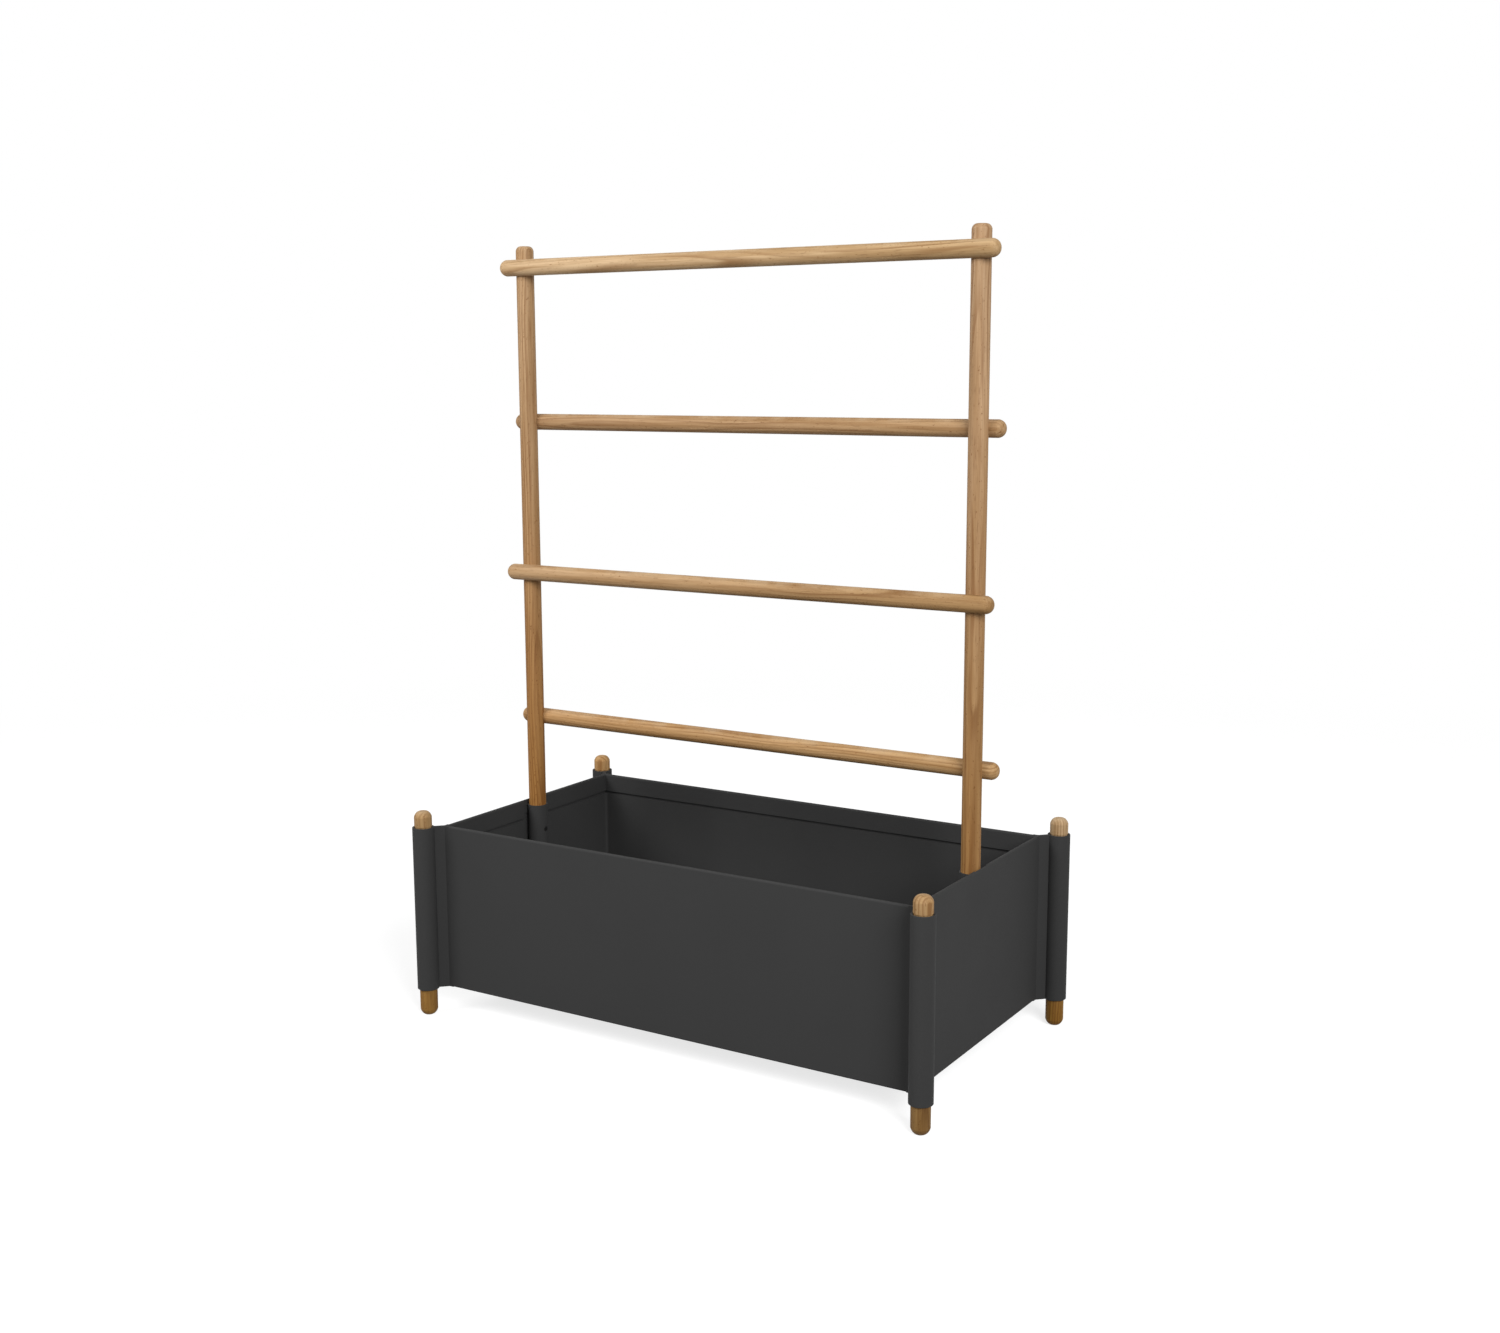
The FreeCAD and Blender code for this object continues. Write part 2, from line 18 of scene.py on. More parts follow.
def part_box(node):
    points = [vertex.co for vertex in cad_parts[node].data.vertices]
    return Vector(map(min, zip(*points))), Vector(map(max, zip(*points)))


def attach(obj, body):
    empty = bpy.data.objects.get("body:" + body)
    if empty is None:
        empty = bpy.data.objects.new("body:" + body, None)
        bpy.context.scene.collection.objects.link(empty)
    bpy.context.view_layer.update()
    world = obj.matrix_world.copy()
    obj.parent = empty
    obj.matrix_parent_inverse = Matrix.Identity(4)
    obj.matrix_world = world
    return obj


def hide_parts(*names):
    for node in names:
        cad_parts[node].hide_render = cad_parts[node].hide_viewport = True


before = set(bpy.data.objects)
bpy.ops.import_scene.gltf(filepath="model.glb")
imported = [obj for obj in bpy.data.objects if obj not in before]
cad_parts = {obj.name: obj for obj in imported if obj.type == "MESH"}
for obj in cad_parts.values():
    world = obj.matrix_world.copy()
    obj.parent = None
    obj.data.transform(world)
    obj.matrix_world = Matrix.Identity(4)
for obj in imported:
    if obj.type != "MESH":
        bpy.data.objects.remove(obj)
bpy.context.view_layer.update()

MM = 0.001
log = logging.getLogger("planter")

Profile = list[tuple[float, float]]
Colour = tuple[float, float, float]
Point = tuple[float, float, float]
NodeSocket = bpy.types.NodeSocket
NodeSockets = bpy.types.bpy_prop_collection


class Body(Enum):
    """The frame's two bodies."""

    PLANTER = "planter"
    TRELLIS = "trellis"


class Slot(Enum):
    """The record's material slots of the pieces that are rebuilt here."""

    POWDER_COAT = "powder_coat"
    TEAK = "teak"


class GrainAxis(Enum):
    """The way a rod's grain runs, as the turn that brings it upright."""

    UPRIGHT = (0.0, 0.0, 0.0)
    LENGTHWISE = (0.0, -math.pi / 2, 0.0)


# ---- node trees


class Graph:
    """Adds and links nodes in one node tree."""

    def __init__(self, tree: bpy.types.NodeTree) -> None:
        """Starts on a tree that has no nodes yet.

        Args:
            tree: The node tree to fill.
        """
        self.tree = tree
        tree.nodes.clear()

    def node(self, kind: str, inputs: dict | None = None, **settings: object) -> bpy.types.Node:
        """Adds a node, and sets or links its inputs.

        Args:
            kind: The node's Blender type name.
            inputs: Values or output sockets by input name or number.
            settings: Properties of the node itself.

        Returns:
            The new node.
        """
        made = self.tree.nodes.new(kind)
        for key, value in settings.items():
            setattr(made, key, value)
        for key, value in (inputs or {}).items():
            self.feed(made.inputs[key], value)
        return made

    def feed(self, socket: NodeSocket, value: object) -> None:
        """Links an output socket to an input, or gives the input a value.

        Args:
            socket: The input.
            value: The output socket or the value.
        """
        if isinstance(value, NodeSocket):
            self.tree.links.new(value, socket)
        else:
            socket.default_value = value

    def math(self, operation: str, *values: object, clamp: bool = False) -> NodeSocket:
        """Adds a Math node and returns its result."""
        made = self.node("ShaderNodeMath", dict(enumerate(values)), operation=operation, use_clamp=clamp)
        return made.outputs[0]

    def vector(self, operation: str, *values: object) -> bpy.types.Node:
        """Adds a Vector Math node."""
        return self.node("ShaderNodeVectorMath", dict(enumerate(values)), operation=operation)

    def stretched(self, vector: NodeSocket, scale: Sequence[float]) -> NodeSocket:
        """Scales a vector by three factors, so that a noise of scale 1 is stretched by them."""
        return self.vector("MULTIPLY", vector, tuple(scale)).outputs[0]

    def noise(self, vector: NodeSocket, scale: float = 1.0, detail: float = 2.0,
              roughness: float = 0.5) -> bpy.types.Node:
        """Adds a Noise Texture.

        Args:
            vector: Where the noise is read.
            scale: Its features per metre of that vector.
            detail: How many finer layers it has.
            roughness: How strong the finer layers are.

        Returns:
            The node, whose first output is the value and second the colour.
        """
        inputs = {"Vector": vector, "Scale": scale, "Detail": detail, "Roughness": roughness}
        return self.node("ShaderNodeTexNoise", inputs)

    def mapped(self, value: NodeSocket, low: float, high: float, start: float = 0.0, end: float = 1.0,
               smooth: bool = True) -> NodeSocket:
        """Maps a value's range to another one.

        Args:
            value: The socket to map.
            low: The value that becomes start.
            high: The value that becomes end.
            start: The result at low.
            end: The result at high.
            smooth: Whether the result eases in and out.

        Returns:
            The mapped value, kept inside the new range.
        """
        kind = "SMOOTHSTEP" if smooth else "LINEAR"
        inputs = {0: value, 1: low, 2: high, 3: start, 4: end}
        return self.node("ShaderNodeMapRange", inputs, interpolation_type=kind).outputs[0]

    def mixed(self, factor: object, first: object, second: object, blend: str = "MIX") -> NodeSocket:
        """Mixes two colours.

        Args:
            factor: How much of the second there is.
            first: The colour underneath.
            second: The colour on top.
            blend: The way that they mix.

        Returns:
            The mixed colour.
        """
        made = self.node("ShaderNodeMix", data_type="RGBA", blend_type=blend)
        sockets = [made.inputs[0], *(s for s in made.inputs if s.type == "RGBA")]
        for socket, value in zip(sockets, (factor, first, second)):
            self.feed(socket, value)
        return next(s for s in made.outputs if s.type == "RGBA")

    def shaded(self, colour: object, tone: NodeSocket) -> NodeSocket:
        """Multiplies a colour by a value.

        Args:
            colour: The colour or its socket.
            tone: The value.

        Returns:
            The lighter or darker colour.
        """
        grey = self.node("ShaderNodeCombineXYZ", {0: tone, 1: tone, 2: tone}).outputs[0]
        return self.mixed(1.0, colour, grey, "MULTIPLY")

    def seen(self) -> NodeSocket:
        """Tells the rays that see a surface from those that only light it.

        Returns:
            1 for camera, glossy and transmission rays, and 0 for the others.
        """
        path = self.node("ShaderNodeLightPath").outputs
        direct = self.math("MAXIMUM", path["Is Camera Ray"], path["Is Glossy Ray"])
        return self.math("MAXIMUM", direct, path["Is Transmission Ray"])


def opaque(colour: Colour) -> tuple[float, float, float, float]:
    """A colour with full alpha."""
    return (*colour, 1.0)


WHITE = opaque((1.0, 1.0, 1.0))


@dataclass(frozen=True)
class Span:
    """A span of values, and the new span that it is eased to."""

    low: float
    high: float
    start: float = 0.0
    end: float = 1.0

    def of(self, graph: Graph, value: NodeSocket) -> NodeSocket:
        """Maps a value from this span to the new one."""
        return graph.mapped(value, self.low, self.high, self.start, self.end)


@dataclass(frozen=True)
class NoiseLayer:
    """One layer of noise, by its features per metre across and along the grain, and the part that shows.

    Without along, the noise is the same in all directions.
    """

    across: float
    along: float | None = None
    shows: Span = Span(0.0, 1.0)
    detail: float = 2.0
    roughness: float = 0.5

    def value(self, graph: Graph, vector: NodeSocket, colour: bool = False) -> NodeSocket:
        """Adds the noise as it is.

        Args:
            graph: The graph to add it to.
            vector: Where the noise is read, with the grain along Z.
            colour: Whether the result is three noises in one instead of a single one.

        Returns:
            The noise.
        """
        scale = self.across
        if self.along is not None:
            vector = graph.stretched(vector, (self.across, self.across, self.along))
            scale = 1.0
        return graph.noise(vector, scale, self.detail, self.roughness).outputs[1 if colour else 0]

    def mask(self, graph: Graph, vector: NodeSocket) -> NodeSocket:
        """Adds the part of the noise that shows, mapped to its new span."""
        return self.shows.of(graph, self.value(graph, vector))


@dataclass(frozen=True)
class GroupSocket:
    """One named input or output of a shader node group."""

    name: str
    kind: str
    default: object = None

    def add(self, tree: bpy.types.NodeTree, direction: str) -> None:
        """Adds the socket to a group's interface.

        Args:
            tree: The group.
            direction: INPUT or OUTPUT.
        """
        made = tree.interface.new_socket(self.name, in_out=direction, socket_type="NodeSocket" + self.kind)
        if self.default is not None:
            made.default_value = self.default


class Effect:
    """A shader node group that several materials share, built the first time that it is used."""

    name = ""
    inputs: tuple[GroupSocket, ...] = ()
    outputs: tuple[GroupSocket, ...] = ()

    def wire(self, graph: Graph, inside: NodeSockets) -> dict[str, NodeSocket]:
        """Adds the group's nodes.

        Args:
            graph: The group's graph.
            inside: The group's inputs, as seen from within.

        Returns:
            The socket for each output name.
        """
        raise NotImplementedError

    def tree(self) -> bpy.types.NodeTree:
        """Makes the group's tree the first time.

        Returns:
            The tree.
        """
        made = bpy.data.node_groups.get(self.name)
        if made:
            return made
        made = bpy.data.node_groups.new(self.name, "ShaderNodeTree")
        for socket in self.inputs:
            socket.add(made, "INPUT")
        for socket in self.outputs:
            socket.add(made, "OUTPUT")
        graph = Graph(made)
        entry = graph.node("NodeGroupInput")
        graph.node("NodeGroupOutput", self.wire(graph, entry.outputs))
        return made

    def place(self, graph: Graph, values: dict[str, object]) -> NodeSockets:
        """Places the group in a material.

        Args:
            graph: The material's graph.
            values: Values or sockets by input name.

        Returns:
            The group's outputs.
        """
        return graph.node("ShaderNodeGroup", values, node_tree=self.tree()).outputs


class EdgeWearAndHighlight(Effect):
    """A mask along edges, broken up by noise: where handling has rubbed the surface, and where a painted
    highlight lies along the edges of the coat and the screws.
    """

    name = "edge_wear_and_highlight"
    inputs = (
        GroupSocket("Vector", "Vector"),
        GroupSocket("Radius", "Float", 1.0 * MM),
        GroupSocket("Amount", "Float", 1.0),
    )
    outputs = (GroupSocket("Mask", "Float"),)
    samples = 6
    edge = Span(0.995, 0.86)
    breaks = NoiseLayer(160.0, shows=Span(0.3, 0.62, 0.35), detail=3.0)

    def wire(self, graph: Graph, inside: NodeSockets) -> dict[str, NodeSocket]:
        """Compares the rounded normal with the plain one.

        Args:
            graph: The group's graph.
            inside: The group's inputs, as seen from within.

        Returns:
            The socket for each output name.
        """
        rounded = graph.node("ShaderNodeBevel", {"Radius": inside["Radius"]}, samples=self.samples)
        plain = graph.node("ShaderNodeNewGeometry").outputs["Normal"]
        along = graph.vector("DOT_PRODUCT", rounded.outputs[0], plain).outputs["Value"]
        breaks = self.breaks.mask(graph, inside["Vector"])
        worn = graph.math("MULTIPLY", self.edge.of(graph, along), breaks)
        return {"Mask": graph.math("MULTIPLY", worn, inside["Amount"], clamp=True)}


class DustAndTopLight(Effect):
    """A mask on faces that look up, in soft patches: dust on the coat, and painted top light on wood."""

    name = "dust_and_painted_top_light"
    inputs = (GroupSocket("Vector", "Vector"), GroupSocket("Amount", "Float", 0.3))
    outputs = (GroupSocket("Mask", "Float"),)
    facing = Span(0.35, 0.95)
    patches = NoiseLayer(26.0, shows=Span(0.36, 0.68), detail=5.0, roughness=0.6)

    def wire(self, graph: Graph, inside: NodeSockets) -> dict[str, NodeSocket]:
        """Takes the upward part of the normal, and breaks it up.

        Args:
            graph: The group's graph.
            inside: The group's inputs, as seen from within.

        Returns:
            The socket for each output name.
        """
        normal = graph.node("ShaderNodeNewGeometry").outputs["Normal"]
        upward = self.facing.of(graph, graph.vector("DOT_PRODUCT", normal, (0, 0, 1)).outputs["Value"])
        upward_patches = graph.math("MULTIPLY", upward, self.patches.mask(graph, inside["Vector"]))
        return {"Mask": graph.math("MULTIPLY", upward_patches, inside["Amount"], clamp=True)}


class WoodGrain(Effect):
    """Growth rings round a pith beside the rod, with streaks, fibres, open pores and ticks along it."""

    name = "wood_grain"
    inputs = (
        GroupSocket("Vector", "Vector"),
        GroupSocket("Seed", "Float", 0.0),
        GroupSocket("Ring", "Float", 2.6 * MM),
        GroupSocket("Pith", "Vector", (0.04, 0.02, 0.0)),
        GroupSocket("Light", "Color", (0.6, 0.4, 0.2, 1.0)),
        GroupSocket("Middle", "Color", (0.5, 0.3, 0.15, 1.0)),
        GroupSocket("Dark", "Color", (0.3, 0.15, 0.06, 1.0)),
        GroupSocket("Cool", "Color", (0.8, 0.8, 0.8, 1.0)),
    )
    outputs = (
        GroupSocket("Color", "Color"),
        GroupSocket("Roughness", "Float"),
        GroupSocket("Height", "Float"),
    )

    seed_step = (3.17, 1.73, 5.31)
    wander = NoiseLayer(9.0, 1.7)
    wander_reach = 50.0 * MM
    ripple = NoiseLayer(120.0, 9.0)
    ripple_reach = 1.6 * MM
    ring_rise = Span(0.30, 0.88)
    ring_fall = Span(0.86, 1.0, 1.0, 0.0)
    ring_strength = NoiseLayer(60.0, 5.0, Span(0.35, 0.66, 0.2))
    ring_share = 0.75
    fibres = NoiseLayer(900.0, 16.0, detail=3.0, roughness=0.6)
    fibre_share = Span(0.35, 0.72, 0.0, 0.30)
    fibre_roughness = Span(0.3, 0.7, 0.55, 0.7)
    fibre_relief = 0.45
    pores = NoiseLayer(1500.0, 60.0, Span(0.63, 0.72), detail=1.0)
    pore_crowds = NoiseLayer(130.0, 12.0, Span(0.42, 0.62, 0.15), detail=1.0)
    pore_share = 0.5
    pore_roughness = 0.12
    ticks = NoiseLayer(430.0, 210.0, Span(0.67, 0.75), detail=1.0)
    tick_share = 0.75
    streaks = NoiseLayer(150.0, 4.5, Span(0.36, 0.66))
    streak_share = 0.85
    bands = NoiseLayer(34.0, 2.2, Span(0.34, 0.66))
    band_share = 0.5

    def sway(self, graph: Graph, vector: NodeSocket, layer: NoiseLayer, reach: float) -> NodeSocket:
        """A sideways shift that changes along the grain.

        Args:
            graph: The group's graph.
            vector: Where the noise is read.
            layer: The noise that it follows.
            reach: How wide it swings, in metres.

        Returns:
            The shift as a vector.
        """
        noise = layer.value(graph, vector, colour=True)
        centred = graph.vector("SUBTRACT", noise, (0.5, 0.5, 0.5)).outputs[0]
        return graph.vector("MULTIPLY", centred, (reach, reach, 0.0)).outputs[0]

    def rings(self, graph: Graph, inside: NodeSockets, moved: NodeSocket) -> NodeSocket:
        """The dark late wood of the growth rings, from the distance to a pith that wanders.

        Args:
            graph: The group's graph.
            inside: The group's inputs, as seen from within.
            moved: The place, moved by the seed.

        Returns:
            The mask.
        """
        drift = self.sway(graph, moved, self.wander, self.wander_reach)
        shake = self.sway(graph, moved, self.ripple, self.ripple_reach)
        drifted = graph.vector("ADD", inside["Vector"], drift).outputs[0]
        bent = graph.vector("ADD", drifted, shake).outputs[0]
        away = graph.vector("SUBTRACT", bent, inside["Pith"]).outputs[0]
        reach = graph.vector("LENGTH", graph.stretched(away, (1.0, 1.0, 0.0))).outputs["Value"]
        ring = graph.math("FRACT", graph.math("DIVIDE", reach, inside["Ring"]))
        late = graph.math("MULTIPLY", self.ring_rise.of(graph, ring), self.ring_fall.of(graph, ring))
        return graph.math("MULTIPLY", late, self.ring_strength.mask(graph, moved))

    def wire(self, graph: Graph, inside: NodeSockets) -> dict[str, NodeSocket]:
        """Lays streaks, cool bands, rings, fibres, pores and ticks over the light tone.

        Args:
            graph: The group's graph.
            inside: The group's inputs, as seen from within.

        Returns:
            The socket for each output name.
        """
        shift = graph.node("ShaderNodeCombineXYZ", {
            axis: graph.math("MULTIPLY", inside["Seed"], step) for axis, step in enumerate(self.seed_step)
        }).outputs[0]
        moved = graph.vector("ADD", inside["Vector"], shift).outputs[0]
        rings = graph.math("MULTIPLY", self.rings(graph, inside, moved), self.ring_share)
        fibres = self.fibres.value(graph, moved)
        pores = graph.math("MULTIPLY", self.pores.mask(graph, moved), self.pore_crowds.mask(graph, moved))
        ticks = graph.math("MULTIPLY", self.ticks.mask(graph, moved), self.tick_share)
        streaks = graph.math("MULTIPLY", self.streaks.mask(graph, moved), self.streak_share)
        bands = graph.math("MULTIPLY", self.bands.mask(graph, moved), self.band_share)

        colour = graph.mixed(streaks, inside["Light"], inside["Middle"])
        colour = graph.mixed(bands, colour, inside["Cool"], "MULTIPLY")
        colour = graph.mixed(rings, colour, inside["Dark"])
        colour = graph.mixed(self.fibre_share.of(graph, fibres), colour, inside["Dark"])
        darkened = graph.math("MULTIPLY", pores, self.pore_share)
        colour = graph.mixed(darkened, colour, inside["Dark"], "MULTIPLY")
        colour = graph.mixed(ticks, colour, inside["Dark"])

        rough = graph.math("ADD", self.fibre_roughness.of(graph, fibres),
                           graph.math("MULTIPLY", pores, self.pore_roughness))
        height = graph.math("SUBTRACT", graph.math("MULTIPLY", fibres, self.fibre_relief), pores)
        return {"Color": colour, "Roughness": rough, "Height": height}


class CoatTexture(Effect):
    """The fine peel of a baked powder coat, with slow patches of tone and gloss."""

    name = "coat_texture"
    inputs = (
        GroupSocket("Vector", "Vector"),
        GroupSocket("Color", "Color", (0.04, 0.04, 0.04, 1.0)),
        GroupSocket("Roughness", "Float", 0.6),
    )
    outputs = (
        GroupSocket("Color", "Color"),
        GroupSocket("Roughness", "Float"),
        GroupSocket("Height", "Float"),
    )

    grain = NoiseLayer(1300.0, roughness=0.6)
    grain_tone = Span(0.25, 0.75, 0.92, 1.08)
    grain_relief = 0.6
    peel = NoiseLayer(420.0)
    peel_relief = 0.8
    patches = NoiseLayer(7.0, detail=3.0)
    patch_tone = Span(0.3, 0.7, 0.975, 1.025)
    patch_roughness = Span(0.3, 0.7, -0.04, 0.04)
    rubs = NoiseLayer(9.0, 120.0, Span(0.66, 0.78), detail=4.0, roughness=0.65)
    rub_gloss = 0.06

    def wire(self, graph: Graph, inside: NodeSockets) -> dict[str, NodeSocket]:
        """Layers fine grain, broad patches and a few faint rubs.

        Args:
            graph: The group's graph.
            inside: The group's inputs, as seen from within.

        Returns:
            The socket for each output name.
        """
        grain = self.grain.value(graph, inside["Vector"])
        patches = self.patches.value(graph, inside["Vector"])
        tone = graph.math("MULTIPLY", self.grain_tone.of(graph, grain), self.patch_tone.of(graph, patches))
        colour = graph.shaded(inside["Color"], tone)
        patchy = graph.math("ADD", inside["Roughness"], self.patch_roughness.of(graph, patches))
        rubbed = graph.math("MULTIPLY", self.rubs.mask(graph, inside["Vector"]), self.rub_gloss)
        gloss = graph.math("SUBTRACT", patchy, rubbed)
        peel = graph.math("MULTIPLY", self.peel.value(graph, inside["Vector"]), self.peel_relief)
        height = graph.math("ADD", graph.math("MULTIPLY", grain, self.grain_relief), peel)
        return {"Color": colour, "Roughness": gloss, "Height": height}


# ---- finishes


class Finish:
    """Something that can make its own material."""

    name: str

    def fill(self, graph: Graph) -> None:
        """Adds the material's nodes.

        Args:
            graph: The material's graph.
        """
        raise NotImplementedError

    def material(self) -> bpy.types.Material:
        """Makes the finish's material the first time.

        Returns:
            The material.
        """
        made = bpy.data.materials.get("finish_" + self.name)
        if made is None:
            made = bpy.data.materials.new("finish_" + self.name)
            made.use_nodes = True
            self.fill(Graph(made.node_tree))
        return made

    def surface(self, graph: Graph, colour: object, roughness: object, height: NodeSocket,
                depth: float, **constants: float) -> None:
        """Adds the shader, its bump and the output.

        Args:
            graph: The material's graph.
            colour: The base colour or its socket.
            roughness: The roughness or its socket.
            height: The relief, from 0 to 1.
            depth: How deep a relief of 1 is, in metres.
            constants: Other inputs of the shader, with underscores for blanks.
        """
        bump = graph.node("ShaderNodeBump", {"Strength": 1.0, "Distance": depth, "Height": height})
        inputs = {"Base Color": colour, "Roughness": roughness, "Normal": bump.outputs[0]}
        inputs |= {key.replace("_", " "): value for key, value in constants.items()}
        shader = graph.node("ShaderNodeBsdfPrincipled", inputs)
        graph.node("ShaderNodeOutputMaterial", {"Surface": shader.outputs[0]})


@dataclass(frozen=True)
class Rod:
    """One wooden rod: its cut from the log, and how its tone drifts from one end to the other, which is
    partly the wood's own tone and partly painted shade and painted highlight.
    """

    node: str
    seed: float
    start: Colour
    end: Colour


@dataclass(frozen=True)
class Teak(Finish):
    """Fine-sanded, untreated teak on one rod, with its own cut from the log."""

    name: str
    rod: Rod
    grain: GrainAxis
    centre: Point
    length: float
    light: Colour = (0.560, 0.355, 0.184)
    middle: Colour = (0.430, 0.250, 0.112)
    dark: Colour = (0.235, 0.108, 0.036)
    cool: Colour = (0.84, 0.85, 0.86)
    ring: float = 4.5 * MM
    pith_distance: float = 45.0 * MM
    pith_turn: float = 2.4
    relief: float = 0.10 * MM
    specular: float = 0.2
    worn: Colour = (0.66, 0.43, 0.22)
    worn_radius: float = 1.0 * MM
    worn_amount: float = 0.25
    # Colour and amount of the painted top light on upward faces.
    painted_top_light: Colour = (0.72, 0.56, 0.37)
    painted_top_light_amount: float = 0.32

    def fill(self, graph: Graph) -> None:
        """Adds the grain, the tone that drifts along the rod with painted shade and highlight in it, worn
        arrises and painted top light on upward faces.

        Args:
            graph: The material's graph.
        """
        place = graph.node("ShaderNodeTexCoord").outputs["Object"]
        local = graph.vector("SUBTRACT", place, self.centre).outputs[0]
        turn = {"Vector": local, "Rotation": self.grain.value}
        upright = graph.node("ShaderNodeMapping", turn).outputs[0]
        around = self.rod.seed * self.pith_turn
        pith = (self.pith_distance * math.cos(around), self.pith_distance * math.sin(around), 0.0)
        grain = WoodGrain().place(graph, {
            "Vector": upright, "Seed": self.rod.seed, "Ring": self.ring, "Pith": pith,
            "Light": opaque(self.light), "Middle": opaque(self.middle), "Dark": opaque(self.dark),
            "Cool": opaque(self.cool),
        })
        # The tone drifts along the rod: partly the wood's own tone, partly painted shade and painted
        # highlight.
        along = graph.node("ShaderNodeSeparateXYZ", {0: upright}).outputs[2]
        share = graph.mapped(along, -self.length / 2, self.length / 2)
        drift_with_painted_light = graph.mixed(share, opaque(self.rod.start), opaque(self.rod.end))
        toned = graph.mixed(1.0, grain["Color"], drift_with_painted_light, "MULTIPLY")
        edges = EdgeWearAndHighlight().place(graph, {
            "Vector": place, "Radius": self.worn_radius, "Amount": self.worn_amount,
        })["Mask"]
        rubbed = graph.mixed(edges, toned, opaque(self.worn))
        # Upward faces are lightened: painted top light, as if lit from above.
        painted_top_lit = DustAndTopLight().place(graph, {"Vector": place, "Amount": self.painted_top_light_amount})["Mask"]
        colour = graph.mixed(painted_top_lit, rubbed, opaque(self.painted_top_light))
        self.surface(graph, colour, grain["Roughness"], grain["Height"], self.relief,
                     Specular_IOR_Level=self.specular)


@dataclass(frozen=True)
class PowderCoat(Finish):
    """Matt, fine-textured anthracite powder coat."""

    name: str = "powder_coat"
    colour: Colour = (0.0468, 0.0468, 0.0468)
    roughness: float = 0.66
    specular: float = 0.06
    relief: float = 0.03 * MM
    # Lighter edges: partly rubbed coat, partly a painted highlight along the bends.
    worn: Colour = (0.100, 0.100, 0.100)
    worn_radius: float = 0.6 * MM
    worn_amount: float = 0.16
    dust: Colour = (0.16, 0.155, 0.148)
    dust_amount: float = 0.05
    dust_roughness: float = 0.25

    def fill(self, graph: Graph) -> None:
        """Adds the coat's texture, lighter edges that are partly rubbed coat and partly a painted highlight,
        and dust.

        Args:
            graph: The material's graph.
        """
        place = graph.node("ShaderNodeTexCoord").outputs["Object"]
        coat = CoatTexture().place(graph, {
            "Vector": place, "Color": opaque(self.colour), "Roughness": self.roughness,
        })
        edges = EdgeWearAndHighlight().place(graph, {
            "Vector": place, "Radius": self.worn_radius, "Amount": self.worn_amount,
        })["Mask"]
        # Lightens the edges: rubbed coat, and a painted highlight along the bends.
        rubbed = graph.mixed(edges, coat["Color"], opaque(self.worn))
        upward_patches = DustAndTopLight().place(graph, {"Vector": place, "Amount": self.dust_amount})["Mask"]
        colour = graph.mixed(upward_patches, rubbed, opaque(self.dust))
        dusty = graph.math("MULTIPLY", upward_patches, self.dust_roughness)
        roughness = graph.math("ADD", coat["Roughness"], dusty, clamp=True)
        self.surface(graph, colour, roughness, coat["Height"], self.relief,
                     Specular_IOR_Level=self.specular)


@dataclass(frozen=True)
class ScrewMetal(Finish):
    """Metal of the screws, with fine brushing, a mottled tone and a painted highlight along the edges."""

    name: str
    colour: Colour
    roughness: float
    metallic: float
    relief: float = 0.02 * MM
    brushing: Point = (3200.0, 500.0, 3200.0)
    brushed_roughness: Span = Span(0.3, 0.7, -0.06, 0.06)
    mottle: NoiseLayer = NoiseLayer(240.0, shows=Span(0.3, 0.7, 0.85, 1.08), detail=3.0)
    edge_highlight: float = 1.6
    edge_highlight_radius: float = 0.4 * MM
    edge_highlight_amount: float = 0.8

    def fill(self, graph: Graph) -> None:
        """Adds the brushing, the mottled tone and the painted edge highlight.

        Args:
            graph: The material's graph.
        """
        place = graph.node("ShaderNodeTexCoord").outputs["Object"]
        brushed = graph.noise(graph.stretched(place, self.brushing)).outputs[0]
        edges = EdgeWearAndHighlight().place(graph, {
            "Vector": place, "Radius": self.edge_highlight_radius, "Amount": self.edge_highlight_amount,
        })["Mask"]
        base = graph.shaded(opaque(self.colour), self.mottle.mask(graph, place))
        # Painted highlight: the edges are lightened as if they catch the light.
        colour = graph.mixed(edges, base, opaque(tuple(min(1.0, self.edge_highlight * c) for c in self.colour)))
        roughness = graph.math("ADD", self.brushed_roughness.of(graph, brushed), self.roughness)
        self.surface(graph, colour, roughness, brushed, self.relief, Metallic=self.metallic)


STAINLESS = ScrewMetal(name="stainless", colour=(0.56, 0.56, 0.57), roughness=0.32, metallic=1.0)
BLACK_OXIDE = ScrewMetal(name="black_oxide", colour=(0.010, 0.010, 0.010), roughness=0.55, metallic=0.4)


# ---- mesh helpers

ON_AXIS = 1e-9  # a smaller radius is a point on the lathe's axis
TIGHTEST_TURN = 0.3  # cosine of half the sharpest turn that offset_loop follows in full
SHARP = 28.0  # degrees between faces from which an edge of a prism is sharp
TURNED_SHARP = 12.0  # the same for turned wood, which keeps its fine arrises


def arc(centre: Vector, radius: float, start: float, end: float, steps: int) -> list[Vector]:
    """Points on a flat arc, both ends included.

    Args:
        centre: The arc's centre.
        radius: Its radius.
        start: The angle that it starts at, in radians.
        end: The angle that it ends at.
        steps: How many chords it has.

    Returns:
        The points in order.
    """
    angles = (start + (end - start) * k / steps for k in range(steps + 1))
    return [centre + Vector((math.cos(a), math.sin(a))) * radius for a in angles]


